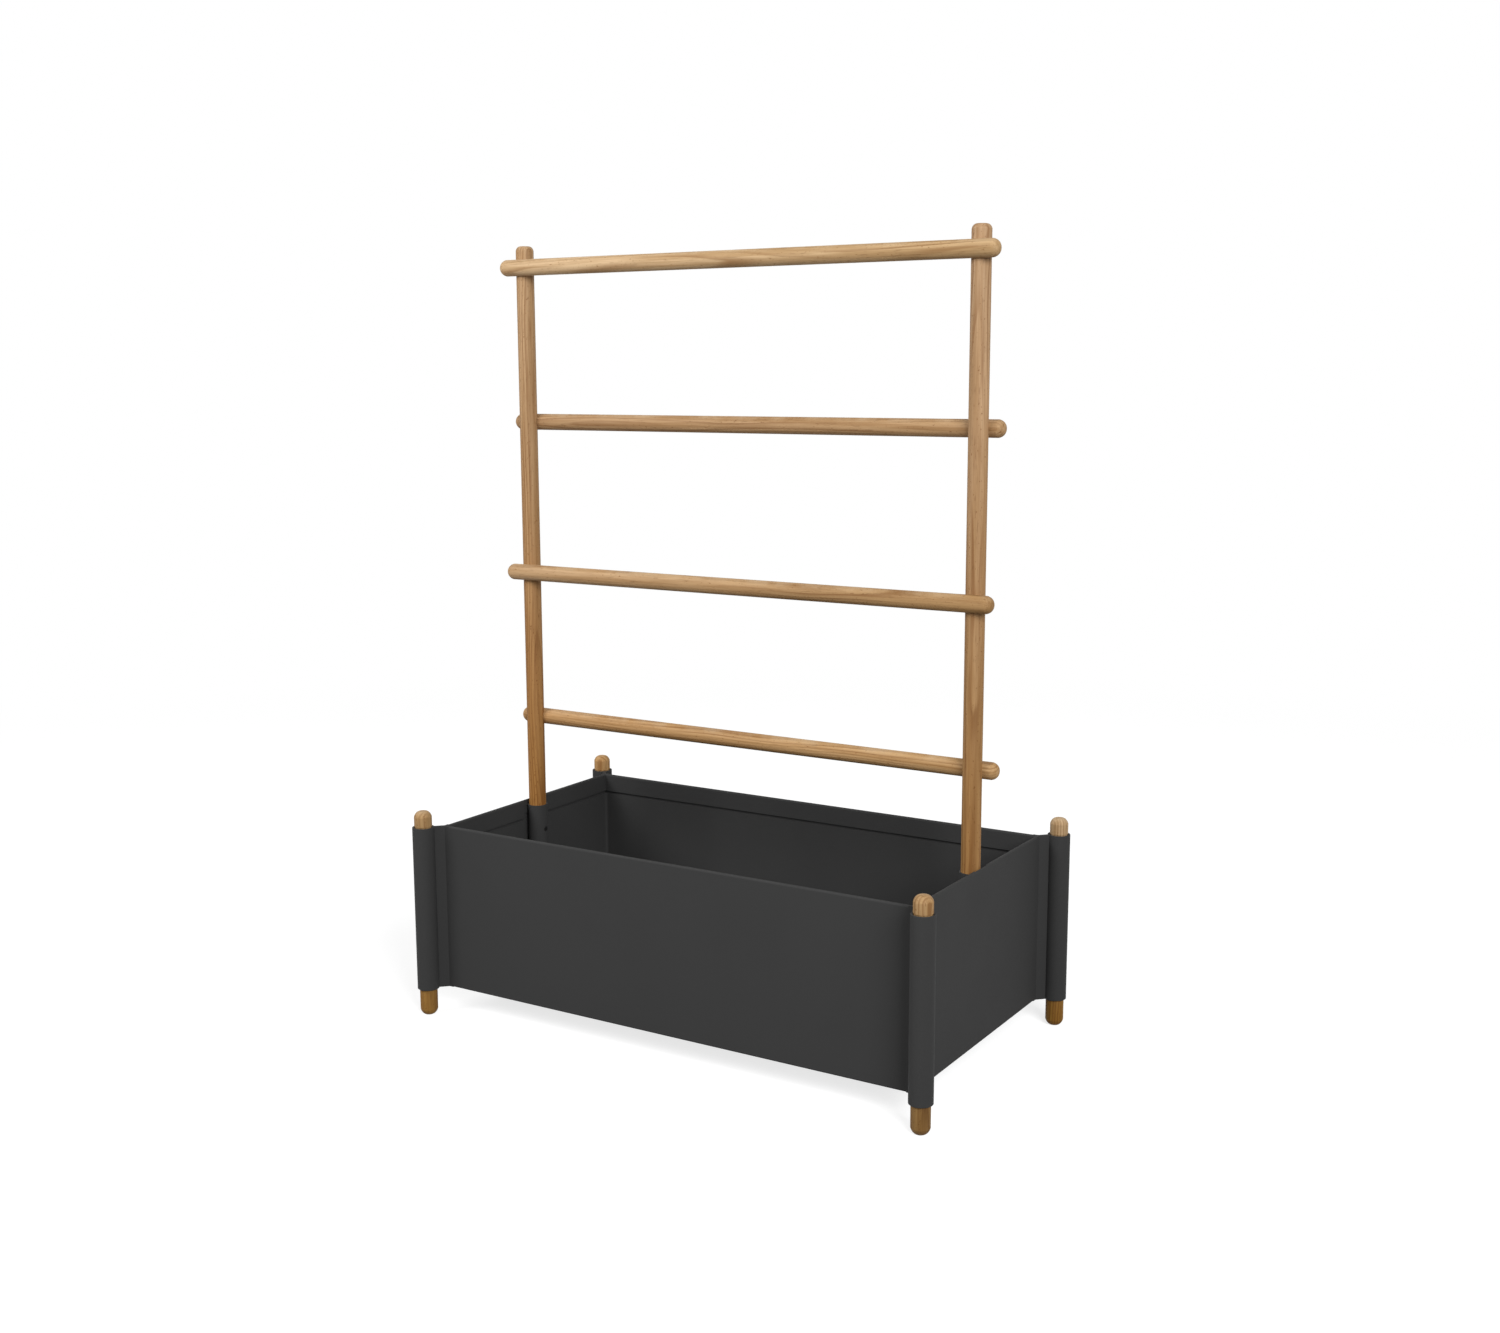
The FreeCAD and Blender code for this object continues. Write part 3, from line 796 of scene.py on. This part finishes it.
def rounded_end(radius: float, rounding: float, arris: float, steps: int = 12) -> Profile:
    """Profile of a turned end, from the side to the flat top, as (radius, drop below the top) points.

    Args:
        radius: The rod's radius.
        rounding: How far the round-over reaches, both inwards and along the rod.
        arris: The angle that the round-over starts at, which leaves a fine edge, in radians.
        steps: How many chords the round-over has.

    Returns:
        The points, the side's first.
    """
    points = []
    for k in range(steps + 1):
        angle = arris + (math.pi / 2 - arris) * k / steps
        inward = math.cos(angle) / math.cos(arris)
        upward = (math.sin(angle) - math.sin(arris)) / (1 - math.sin(arris))
        points.append((radius - rounding + rounding * inward, rounding * (1 - upward)))
    return points


def lathe(profile: Profile, sides: int) -> bmesh.types.BMesh:
    """Turns a profile about Z.

    Args:
        profile: The (radius, height) points from the bottom's middle to the top's middle.
        sides: How many sides the turned piece has.

    Returns:
        The closed mesh.
    """
    made = bmesh.new()
    rings = []
    for radius, height in profile:
        if radius < ON_AXIS:
            rings.append([made.verts.new((0, 0, height))])
            continue
        angles = (2 * math.pi * k / sides for k in range(sides))
        rings.append([made.verts.new((radius * math.cos(a), radius * math.sin(a), height))
                      for a in angles])
    for lower, upper in zip(rings, rings[1:]):
        for k in range(sides):
            ahead = (k + 1) % sides
            corners = [lower[k % len(lower)], lower[ahead % len(lower)],
                       upper[ahead % len(upper)], upper[k % len(upper)]]
            made.faces.new(list(dict.fromkeys(corners)))
    return made


def offset_loop(points: Sequence[Vector], distance: float) -> list[Vector]:
    """Moves a closed flat loop inwards.

    Args:
        points: The loop, anticlockwise.
        distance: How far each side moves.

    Returns:
        As many points, each moved along its corner's bisector.
    """
    moved = []
    for k, here in enumerate(points):
        before = (here - points[k - 1]).normalized()
        after = (points[(k + 1) % len(points)] - here).normalized()
        first = Vector((-before.y, before.x))
        second = Vector((-after.y, after.x))
        bisector = (first + second).normalized()
        moved.append(here + bisector * (distance / max(TIGHTEST_TURN, bisector.dot(first))))
    return moved


def bored_prism(outline: Sequence[Vector], bore: float, low: float, high: float, chamfer: float,
                mouth: float, sides: int) -> bmesh.types.BMesh:
    """Prism with a round bore on the Z axis and broken edges.

    Args:
        outline: The section's outside, anticlockwise.
        bore: The bore's radius.
        low: The bottom's height.
        high: The top's height.
        chamfer: How much the outer edges are broken.
        mouth: How much the bore's edges are broken.
        sides: How many sides the bore has.

    Returns:
        The closed mesh.
    """
    made = bmesh.new()
    inset = offset_loop(outline, chamfer)

    def ring(points: Iterable[Vector], height: float) -> list[bmesh.types.BMVert]:
        """Adds one loop of vertices at a height."""
        return [made.verts.new((p.x, p.y, height)) for p in points]

    def circle(radius: float) -> list[Vector]:
        """Points round the bore."""
        return arc(Vector((0, 0)), radius, 0, 2 * math.pi * (1 - 1 / sides), sides - 1)

    outer = [ring(inset, low), ring(outline, low + chamfer),
             ring(outline, high - chamfer), ring(inset, high)]
    inner = [ring(circle(bore + mouth), low), ring(circle(bore), low + mouth),
             ring(circle(bore), high - mouth), ring(circle(bore + mouth), high)]
    for rings in (outer, inner):
        for lower, upper in zip(rings, rings[1:]):
            for k in range(len(lower)):
                ahead = (k + 1) % len(lower)
                made.faces.new((lower[k], lower[ahead], upper[ahead], upper[k]))
    for level in (0, -1):
        rim = set(outer[level] + inner[level])
        edges = [e for e in made.edges if e.verts[0] in rim and e.verts[1] in rim]
        bmesh.ops.triangle_fill(made, edges=edges, use_beauty=True)
    return made


def finish_mesh(name: str, made: bmesh.types.BMesh, sharp: float = SHARP) -> bpy.types.Object:
    """Turns a bmesh into a smooth-shaded object with sharp edges.

    Args:
        name: The object's name.
        made: The bmesh, which is freed.
        sharp: The angle between faces from which an edge is sharp, in degrees.

    Returns:
        The linked object.
    """
    bmesh.ops.recalc_face_normals(made, faces=made.faces)
    mesh = bpy.data.meshes.new(name)
    made.to_mesh(mesh)
    made.free()
    soften(mesh, sharp)
    piece = bpy.data.objects.new(name, mesh)
    bpy.context.scene.collection.objects.link(piece)
    return piece


def soften(mesh: bpy.types.Mesh, sharp: float) -> None:
    """Shades a mesh smooth, apart from edges over an angle in degrees."""
    mesh.polygons.foreach_set("use_smooth", [True] * len(mesh.polygons))
    mesh.set_sharp_from_angle(angle=math.radians(sharp))


def carve(piece: bpy.types.Object, cutters: Sequence[bpy.types.Object], sharp: float) -> None:
    """Cuts other objects out of a piece, and removes them.

    Args:
        piece: The object that is cut.
        cutters: The objects that cut it.
        sharp: The angle from which an edge is sharp, in degrees.
    """
    for cutter in cutters:
        cut = piece.modifiers.new("cut", "BOOLEAN")
        cut.operation = "DIFFERENCE"
        cut.solver = "EXACT"
        cut.object = cutter
    graph = bpy.context.evaluated_depsgraph_get()
    carved = bpy.data.meshes.new_from_object(piece.evaluated_get(graph))
    piece.modifiers.clear()
    plain = piece.data
    piece.data = carved
    bpy.data.meshes.remove(plain)
    carved.name = piece.name
    soften(carved, sharp)
    for cutter in cutters:
        mesh = cutter.data
        bpy.data.objects.remove(cutter)
        bpy.data.meshes.remove(mesh)


def drill(radius: float, start: Vector, end: Vector, sides: int) -> bpy.types.Object:
    """A rod between two points, to cut with.

    Args:
        radius: Its radius.
        start: The middle of one end.
        end: The middle of the other end.
        sides: How many sides it has.

    Returns:
        The object.
    """
    along = end - start
    rod = lathe([(0.0, 0.0), (radius, 0.0), (radius, along.length), (0.0, along.length)], sides)
    turn = along.to_track_quat("Z", "Y").to_matrix().to_4x4()
    bmesh.ops.transform(rod, matrix=Matrix.Translation(start) @ turn, verts=rod.verts)
    return finish_mesh("drill", rod)


def assign(piece: bpy.types.Object, material: bpy.types.Material) -> None:
    """Gives every material slot of an object one material.

    Args:
        piece: The object.
        material: The material.
    """
    if not piece.material_slots:
        piece.data.materials.append(material)
    for slot in piece.material_slots:
        slot.material = material


def settle(piece: bpy.types.Object, finish: Finish, body: Body, slot: Slot, *nodes: str) -> str:
    """Dresses a piece that is in place, and ties it to the frame.

    Args:
        piece: The object.
        finish: What it is made of.
        body: The body that it moves with.
        slot: Not used.
        nodes: The frame's nodes that it stands for.

    Returns:
        The piece's name.
    """
    assign(piece, finish.material())
    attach(piece, body.value)
    if nodes:
        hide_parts(*nodes)
    return piece.name


def dress(node: str, finish: Finish) -> str:
    """Gives one of the frame's own nodes a finish, and returns its name."""
    assign(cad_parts[node], finish.material())
    return node


def middle(node: str) -> Vector:
    """The middle of a node's box."""
    low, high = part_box(node)
    return (low + high) / 2


def teak(rod: Rod, grain: GrainAxis) -> Teak:
    """The finish of one rod, fitted to its node.

    Args:
        rod: The rod.
        grain: The way that its grain runs.

    Returns:
        The finish.
    """
    low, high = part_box(rod.node)
    length = high.z - low.z if grain is GrainAxis.UPRIGHT else high.x - low.x
    return Teak(name=rod.node, rod=rod, grain=grain, centre=tuple((low + high) / 2), length=length)


# ---- the planter box

CORNERS = ("front_left", "front_right", "back_left", "back_right")
ENDS = ("left", "right")


@dataclass
class CornerSticks:
    """The four wooden sticks through the corner tubes, each with a knob above and a foot below."""

    diameter: float = 27.0 * MM
    knob_rounding: float = 8.5 * MM
    foot_rounding: float = 9.0 * MM
    arris: float = math.radians(24)
    shoulder: float = 1.1 * MM
    shoulder_gap: float = 0.5 * MM
    neck_length: float = 3.0 * MM
    shoulder_steps: int = 5
    sides: int = 96
    # Tints from foot to knob: the darker feet are painted shade low down, and the lighter knobs are painted
    # light where they catch light from all round.
    rods: tuple[Rod, ...] = (
        Rod("stick_front_left", seed=1.3, start=(0.63, 0.53, 0.24), end=(0.85, 0.84, 0.74)),
        Rod("stick_front_right", seed=2.3, start=(0.47, 0.42, 0.26), end=(0.89, 0.88, 0.79)),
        Rod("stick_back_left", seed=3.3, start=(0.55, 0.46, 0.22), end=(1.14, 1.08, 0.89)),
        Rod("stick_back_right", seed=4.3, start=(0.56, 0.44, 0.14), end=(1.07, 1.18, 1.29)),
    )

    def neck(self, mouth: float, outward: float) -> Profile:
        """The groove at a tube's mouth, from inside the tube to the shoulder's side.

        Args:
            mouth: The height of the tube's end.
            outward: 1 where the stick leaves the tube upwards, -1 downwards.

        Returns:
            The points, the innermost first.
        """
        radius = self.diameter / 2
        waist = radius - self.shoulder
        base = mouth + outward * (self.shoulder_gap + self.shoulder)
        points = [(radius, mouth - outward * self.neck_length),
                  (waist, mouth - outward * (self.neck_length - self.shoulder))]
        for k in range(self.shoulder_steps + 1):
            turn = math.pi / 2 * k / self.shoulder_steps
            rise = outward * self.shoulder * math.cos(turn)
            points.append((waist + self.shoulder * math.sin(turn), base - rise))
        return points

    def mesh(self, name: str, place: Vector, ends: tuple[float, float],
             mouths: tuple[float, float]) -> bpy.types.Object:
        """Builds one stick.

        Args:
            name: The object's name.
            place: A point on its axis.
            ends: The heights of the foot's end and the knob's top.
            mouths: The heights of the tube's two ends.

        Returns:
            The stick in place.
        """
        radius = self.diameter / 2
        low, high = ends
        foot = [(r, low + drop) for r, drop in rounded_end(radius, self.foot_rounding, self.arris)]
        knob = [(r, high - drop) for r, drop in rounded_end(radius, self.knob_rounding, self.arris)]
        lower = self.neck(mouths[0], -1.0)
        upper = self.neck(mouths[1], 1.0)
        profile = [(0.0, low), *reversed(foot), *reversed(lower), *upper, *knob, (0.0, high)]
        rod = lathe(profile, self.sides)
        bmesh.ops.translate(rod, verts=rod.verts, vec=(place.x, place.y, 0.0))
        return finish_mesh(name, rod, sharp=TURNED_SHARP)

    def build(self) -> list[str]:
        """Builds and dresses the four sticks.

        Returns:
            The names of the pieces.
        """
        made = []
        for rod in self.rods:
            low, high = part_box(rod.node)
            place = middle(rod.node)
            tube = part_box(rod.node.replace("stick", "corner_profile"))
            piece = self.mesh(rod.node + "_turned", place, (low.z, high.z), (tube[0].z, tube[1].z))
            made.append(settle(piece, teak(rod, GrainAxis.UPRIGHT), Body.PLANTER, Slot.TEAK, rod.node))
        return made


@dataclass
class CornerProfiles:
    """The four corner profiles: a tube on a web that runs to the box's corner, with a land per panel."""

    bore: float = 13.65 * MM
    tube: float = 16.85 * MM
    web: float = 5.0 * MM
    fillet: float = 1.5 * MM
    inset: float = 21.0 * MM
    skirt: float = 32.05 * MM
    sheet: float = 2.0 * MM
    edge: float = 0.35 * MM
    mouth: float = 0.6 * MM
    tube_steps: int = 72
    fillet_steps: int = 4

    def section(self) -> list[Vector]:
        """The section's outline about the tube's axis, anticlockwise, with the inside towards +X +Y.

        Returns:
            The points of the closed outline.
        """
        turn = math.asin(self.web / 2 / self.tube)
        low, high = math.pi / 4 - turn, math.pi / 4 + turn
        joint = Vector((math.cos(low), math.sin(low))) * self.tube
        root = self.inset + self.web / math.sqrt(2)
        centre = Vector((root + self.fillet * math.tan(math.pi / 8), self.inset - self.fillet))
        side = [joint, *arc(centre, self.fillet, 3 * math.pi / 4, math.pi / 2, self.fillet_steps)]
        inner = self.inset + self.sheet
        upper = [Vector((p.y, p.x)) for p in reversed(side)]
        tube = arc(Vector((0, 0)), self.tube, high, 2 * math.pi + low, self.tube_steps)
        land = [Vector((self.skirt, self.inset)), Vector((self.skirt, inner)), Vector((inner, inner)),
                Vector((inner, self.skirt)), Vector((self.inset, self.skirt))]
        return [*side, *land, *upper, *tube[1:-1]]

    def build(self) -> list[str]:
        """Builds and dresses the four profiles.

        Returns:
            The names of the pieces.
        """
        made = []
        outline = self.section()
        for corner in CORNERS:
            node = "corner_profile_" + corner
            low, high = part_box(node)
            axis = middle("stick_" + corner)
            solid = bored_prism(outline, self.bore, low.z, high.z, self.edge, self.mouth, self.tube_steps)
            flip = Vector((-1.0 if axis.x > 0 else 1.0, -1.0 if axis.y > 0 else 1.0, 1.0))
            for vertex in solid.verts:
                here = vertex.co * flip
                vertex.co = Vector((here.x + axis.x, here.y + axis.y, here.z))
            piece = finish_mesh(node + "_coated", solid)
            made.append(settle(piece, PowderCoat(), Body.PLANTER, Slot.POWDER_COAT, node))
        return made


@dataclass
class SheetBox:
    """The folded panels, the liner and the rails below it, which keep the frame's shapes."""

    coated: tuple[str, ...] = (
        "front_panel", "back_panel", "left_panel", "right_panel", "liner",
        "cross_rail_1", "cross_rail_2", "cross_rail_3", "cross_rail_4",
    )
    screws: tuple[str, ...] = ("rail_screws",)

    def build(self) -> list[str]:
        """Dresses the sheet pieces and their screws.

        Returns:
            The names of the nodes.
        """
        coated = [dress(node, PowderCoat()) for node in self.coated]
        return coated + [dress(node, STAINLESS) for node in self.screws]


@dataclass
class Sockets:
    """The two tube sockets with their set screws."""

    def build(self) -> list[str]:
        """Dresses the sockets and the set screws.

        Returns:
            The names of the nodes.
        """
        tubes = [dress("socket_" + end, PowderCoat()) for end in ENDS]
        return tubes + [dress("set_screw_" + end, BLACK_OXIDE) for end in ENDS]


# ---- the trellis

@dataclass
class Trellis:
    """The ladder: two posts, and four rungs let into them in front and behind by turns."""

    post_diameter: float = 27.5 * MM
    post_top_rounding: float = 7.0 * MM
    post_foot_chamfer: float = 2.0 * MM
    rung_diameter: float = 25.0 * MM
    rung_rounding: float = 9.5 * MM
    arris: float = math.radians(14)
    saddle_clearance: float = 0.1 * MM
    head_radius: float = 5.1 * MM
    head_height: float = 3.0 * MM
    head_sink: float = 1.5 * MM
    head_sides: int = 48
    shank_radius: float = 2.6 * MM
    shank_length: float = 34.0 * MM
    shank_sides: int = 32
    sides: int = 96
    screws: tuple[str, ...] = ("rung_screws_front", "rung_screws_back")
    # Tints from foot to top: darker towards the foot, partly painted shade from the box beside it and partly
    # a stained lower part of the wood.
    posts: tuple[Rod, ...] = (
        Rod("trellis_post_left", seed=7.7, start=(0.70, 0.52, 0.25), end=(0.99, 1.01, 1.06)),
        Rod("trellis_post_right", seed=8.7, start=(0.76, 0.65, 0.44), end=(0.99, 1.02, 1.13)),
    )
    # Tints from left end to right end, partly the wood's own tone and partly painted light: the pale left
    # end of the top rung is a painted highlight, and the darker right ends are painted shade away from the
    # left lamp.
    rungs: tuple[Rod, ...] = (
        Rod("rung_top", seed=11.4, start=(1.26, 1.41, 1.60), end=(1.05, 1.11, 1.11)),
        Rod("rung_upper", seed=12.4, start=(0.92, 0.91, 0.92), end=(0.88, 0.87, 0.85)),
        Rod("rung_lower", seed=13.4, start=(1.13, 1.17, 1.23), end=(0.77, 0.72, 0.60)),
        Rod("rung_bottom", seed=14.4, start=(1.04, 0.96, 0.81), end=(1.04, 1.03, 0.94)),
    )

    def in_front(self, rung: str) -> bool:
        """Whether a rung lies in front of the posts."""
        return middle(rung).y < 0

    def screw_drills(self, x: float, rung: str) -> list[bpy.types.Object]:
        """The counterbore and the shank hole of one rung screw.

        Args:
            x: Where the post is.
            rung: The rung that the screw holds.

        Returns:
            The cutters.
        """
        height = middle(rung).z
        face = self.post_diameter / 2 if self.in_front(rung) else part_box(rung)[1].y
        mouth = face - self.head_sink
        seat = Vector((x, mouth - self.head_height, height))
        outside = Vector((x, face + self.post_diameter / 4, height))
        tip = Vector((x, mouth - self.shank_length, height))
        return [drill(self.head_radius, seat, outside, self.head_sides),
                drill(self.shank_radius, tip, outside, self.shank_sides)]

    def post(self, node: str) -> bpy.types.Object:
        """Builds one post, with a saddle and screw holes for each rung.

        Args:
            node: The frame's node.

        Returns:
            The post in place.
        """
        low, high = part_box(node)
        radius = self.post_diameter / 2
        top = [(r, high.z - d) for r, d in rounded_end(radius, self.post_top_rounding, self.arris)]
        foot = [(radius - self.post_foot_chamfer, low.z), (radius, low.z + self.post_foot_chamfer)]
        rod = lathe([(0.0, low.z), *foot, *top, (0.0, high.z)], self.sides)
        x = middle(node).x
        bmesh.ops.translate(rod, verts=rod.verts, vec=(x, 0.0, 0.0))
        piece = finish_mesh(node + "_turned", rod, sharp=TURNED_SHARP)
        reach = Vector((self.post_diameter, 0.0, 0.0))
        saddle = self.rung_diameter / 2 + self.saddle_clearance
        cutters = []
        for rung in self.rungs:
            place = middle(rung.node)
            centre = Vector((x, place.y, place.z))
            cutters.append(drill(saddle, centre - reach, centre + reach, self.sides))
            cutters += self.screw_drills(x, rung.node)
        carve(piece, cutters, sharp=TURNED_SHARP)
        return piece

    def rung(self, node: str) -> bpy.types.Object:
        """Builds one rung, bored for its two screws.

        Args:
            node: The frame's node.

        Returns:
            The rung in place.
        """
        low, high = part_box(node)
        place = middle(node)
        ends = rounded_end(self.rung_diameter / 2, self.rung_rounding, self.arris)
        start = [(r, low.x + drop) for r, drop in ends]
        finish = [(r, high.x - drop) for r, drop in ends]
        rod = lathe([(0.0, low.x), *reversed(start), *finish, (0.0, high.x)], self.sides)
        turn = Matrix.Rotation(math.pi / 2, 4, "Y")
        shift = Matrix.Translation((0.0, place.y, place.z))
        bmesh.ops.transform(rod, matrix=shift @ turn, verts=rod.verts)
        piece = finish_mesh(node + "_turned", rod, sharp=TURNED_SHARP)
        cutters = []
        for end in ENDS:
            cutters += self.screw_drills(middle("trellis_post_" + end).x, node)
        carve(piece, cutters, sharp=TURNED_SHARP)
        return piece

    def build(self) -> list[str]:
        """Builds and dresses the ladder.

        Returns:
            The names of the pieces.
        """
        made = []
        for rod in self.posts:
            finish = teak(rod, GrainAxis.UPRIGHT)
            made.append(settle(self.post(rod.node), finish, Body.TRELLIS, Slot.TEAK, rod.node))
        for rod in self.rungs:
            finish = teak(rod, GrainAxis.LENGTHWISE)
            made.append(settle(self.rung(rod.node), finish, Body.TRELLIS, Slot.TEAK, rod.node))
        return made + [dress(node, STAINLESS) for node in self.screws]


# ---- studio and camera


@dataclass(frozen=True)
class StudioFloor(Finish):
    """Pale matt floor that the camera sees as white, with the object's shadow on it."""

    name: str = "studio_floor"
    colour: Colour = (0.34, 0.34, 0.34)
    lift: float = 0.76
    near: float = 1.6
    far: float = 3.4
    fleck: NoiseLayer = NoiseLayer(90.0, shows=Span(0.3, 0.7, 0.98, 1.02), detail=3.0)

    def fill(self, graph: Graph) -> None:
        """Adds the matt floor, and a glow for camera rays that is pure white far out.

        Args:
            graph: The material's graph.
        """
        place = graph.node("ShaderNodeTexCoord").outputs["Object"]
        distance = graph.vector("LENGTH", place).outputs["Value"]
        outer = graph.mapped(distance, self.near, self.far)
        seen = graph.seen()
        matt = graph.node("ShaderNodeBsdfDiffuse", {
            "Color": opaque(self.colour), "Roughness": self.fleck.mask(graph, place),
        })
        lifted = graph.math("MULTIPLY", seen, self.lift)
        glow = graph.node("ShaderNodeEmission", {"Color": WHITE, "Strength": lifted})
        lit = graph.node("ShaderNodeAddShader", {0: matt.outputs[0], 1: glow.outputs[0]})
        white = graph.node("ShaderNodeEmission", {"Color": WHITE, "Strength": 1.0})
        open_floor = graph.math("MULTIPLY", outer, seen)
        both = graph.node("ShaderNodeMixShader", {0: open_floor, 1: lit.outputs[0], 2: white.outputs[0]})
        graph.node("ShaderNodeOutputMaterial", {"Surface": both.outputs[0]})


@dataclass(frozen=True)
class Lamp:
    """One soft square lamp, aimed at a point."""

    name: str
    place: Point
    width: float
    power: float
    target: Point = (0.0, 0.0, 0.45)

    def add(self) -> None:
        """Adds the lamp to the scene."""
        light = bpy.data.lights.new(self.name, "AREA")
        light.shape = "SQUARE"
        light.size = self.width
        light.energy = self.power
        holder = bpy.data.objects.new(self.name, light)
        aim = Vector(self.target) - Vector(self.place)
        holder.rotation_euler = aim.to_track_quat("-Z", "Y").to_euler()
        holder.location = self.place
        bpy.context.scene.collection.objects.link(holder)


@dataclass
class Studio:
    """Pale floor, white surroundings and soft lamps."""

    floor_radius: float = 40.0
    floor_sides: int = 64
    surround: float = 0.28
    lamps: tuple[Lamp, ...] = (
        Lamp("left_lamp", place=(-1.6, -2.1, 2.2), width=1.4, power=54.0),
        Lamp("right_lamp", place=(3.0, -2.2, 2.3), width=1.8, power=121.0),
    )

    def floor(self) -> None:
        """Adds the floor as a wide disc."""
        disc = bmesh.new()
        bmesh.ops.create_circle(disc, cap_ends=True, radius=self.floor_radius, segments=self.floor_sides)
        piece = finish_mesh("floor", disc)
        piece.data.flip_normals()
        assign(piece, StudioFloor().material())

    def world(self) -> None:
        """Adds surroundings that light the object softly and look white."""
        world = bpy.data.worlds.new("studio")
        bpy.context.scene.world = world
        world.use_nodes = True
        graph = Graph(world.node_tree)
        strength = graph.mapped(graph.seen(), 0.0, 1.0, self.surround, 1.0, smooth=False)
        shade = graph.node("ShaderNodeBackground", {"Color": WHITE, "Strength": strength})
        graph.node("ShaderNodeOutputWorld", {"Surface": shade.outputs[0]})

    def build(self) -> list[str]:
        """Builds the studio.

        Returns:
            The names of what was added.
        """
        self.floor()
        self.world()
        for lamp in self.lamps:
            lamp.add()
        bpy.context.scene.view_settings.view_transform = "Standard"
        return ["floor", "studio", *(lamp.name for lamp in self.lamps)]


@dataclass
class PhotoCamera:
    """The camera at the photograph's place and angle."""

    place: Point = (1.3782, -2.1960, 0.9843)
    yaw: float = -0.55309
    pitch: float = 0.16568
    roll: float = -0.00331
    picture_width: float = 1500.0
    focal_pixels: float = 1761.21
    sensor: float = 36.0
    farthest: float = 200.0

    def build(self) -> list[str]:
        """Adds the camera and makes it the scene's own.

        Returns:
            Its name.
        """
        level = math.cos(self.pitch)
        ahead = Vector((math.sin(self.yaw) * level, math.cos(self.yaw) * level, -math.sin(self.pitch)))
        right = ahead.cross(Vector((0, 0, 1))).normalized()
        up = right.cross(ahead)
        rolled_right = math.cos(self.roll) * right + math.sin(self.roll) * up
        rolled_up = math.cos(self.roll) * up - math.sin(self.roll) * right
        data = bpy.data.cameras.new("photo_camera")
        data.sensor_fit = "HORIZONTAL"
        data.sensor_width = self.sensor
        data.lens = self.sensor * self.focal_pixels / self.picture_width
        data.clip_end = self.farthest
        holder = bpy.data.objects.new("photo_camera", data)
        turn = Matrix((rolled_right, rolled_up, -ahead)).transposed().to_4x4()
        holder.matrix_world = Matrix.Translation(self.place) @ turn
        bpy.context.scene.collection.objects.link(holder)
        bpy.context.scene.camera = holder
        return [holder.name]


def main() -> None:
    """Builds every sub-assembly in order."""
    logging.basicConfig(level=logging.INFO, format="%(name)s: %(message)s")
    parts = (PhotoCamera(), Studio(), CornerSticks(), CornerProfiles(), SheetBox(), Sockets(), Trellis())
    for part in parts:
        for name in part.build():
            log.info("%s: %s", type(part).__name__, name)


if __name__ == "__main__":
    main()
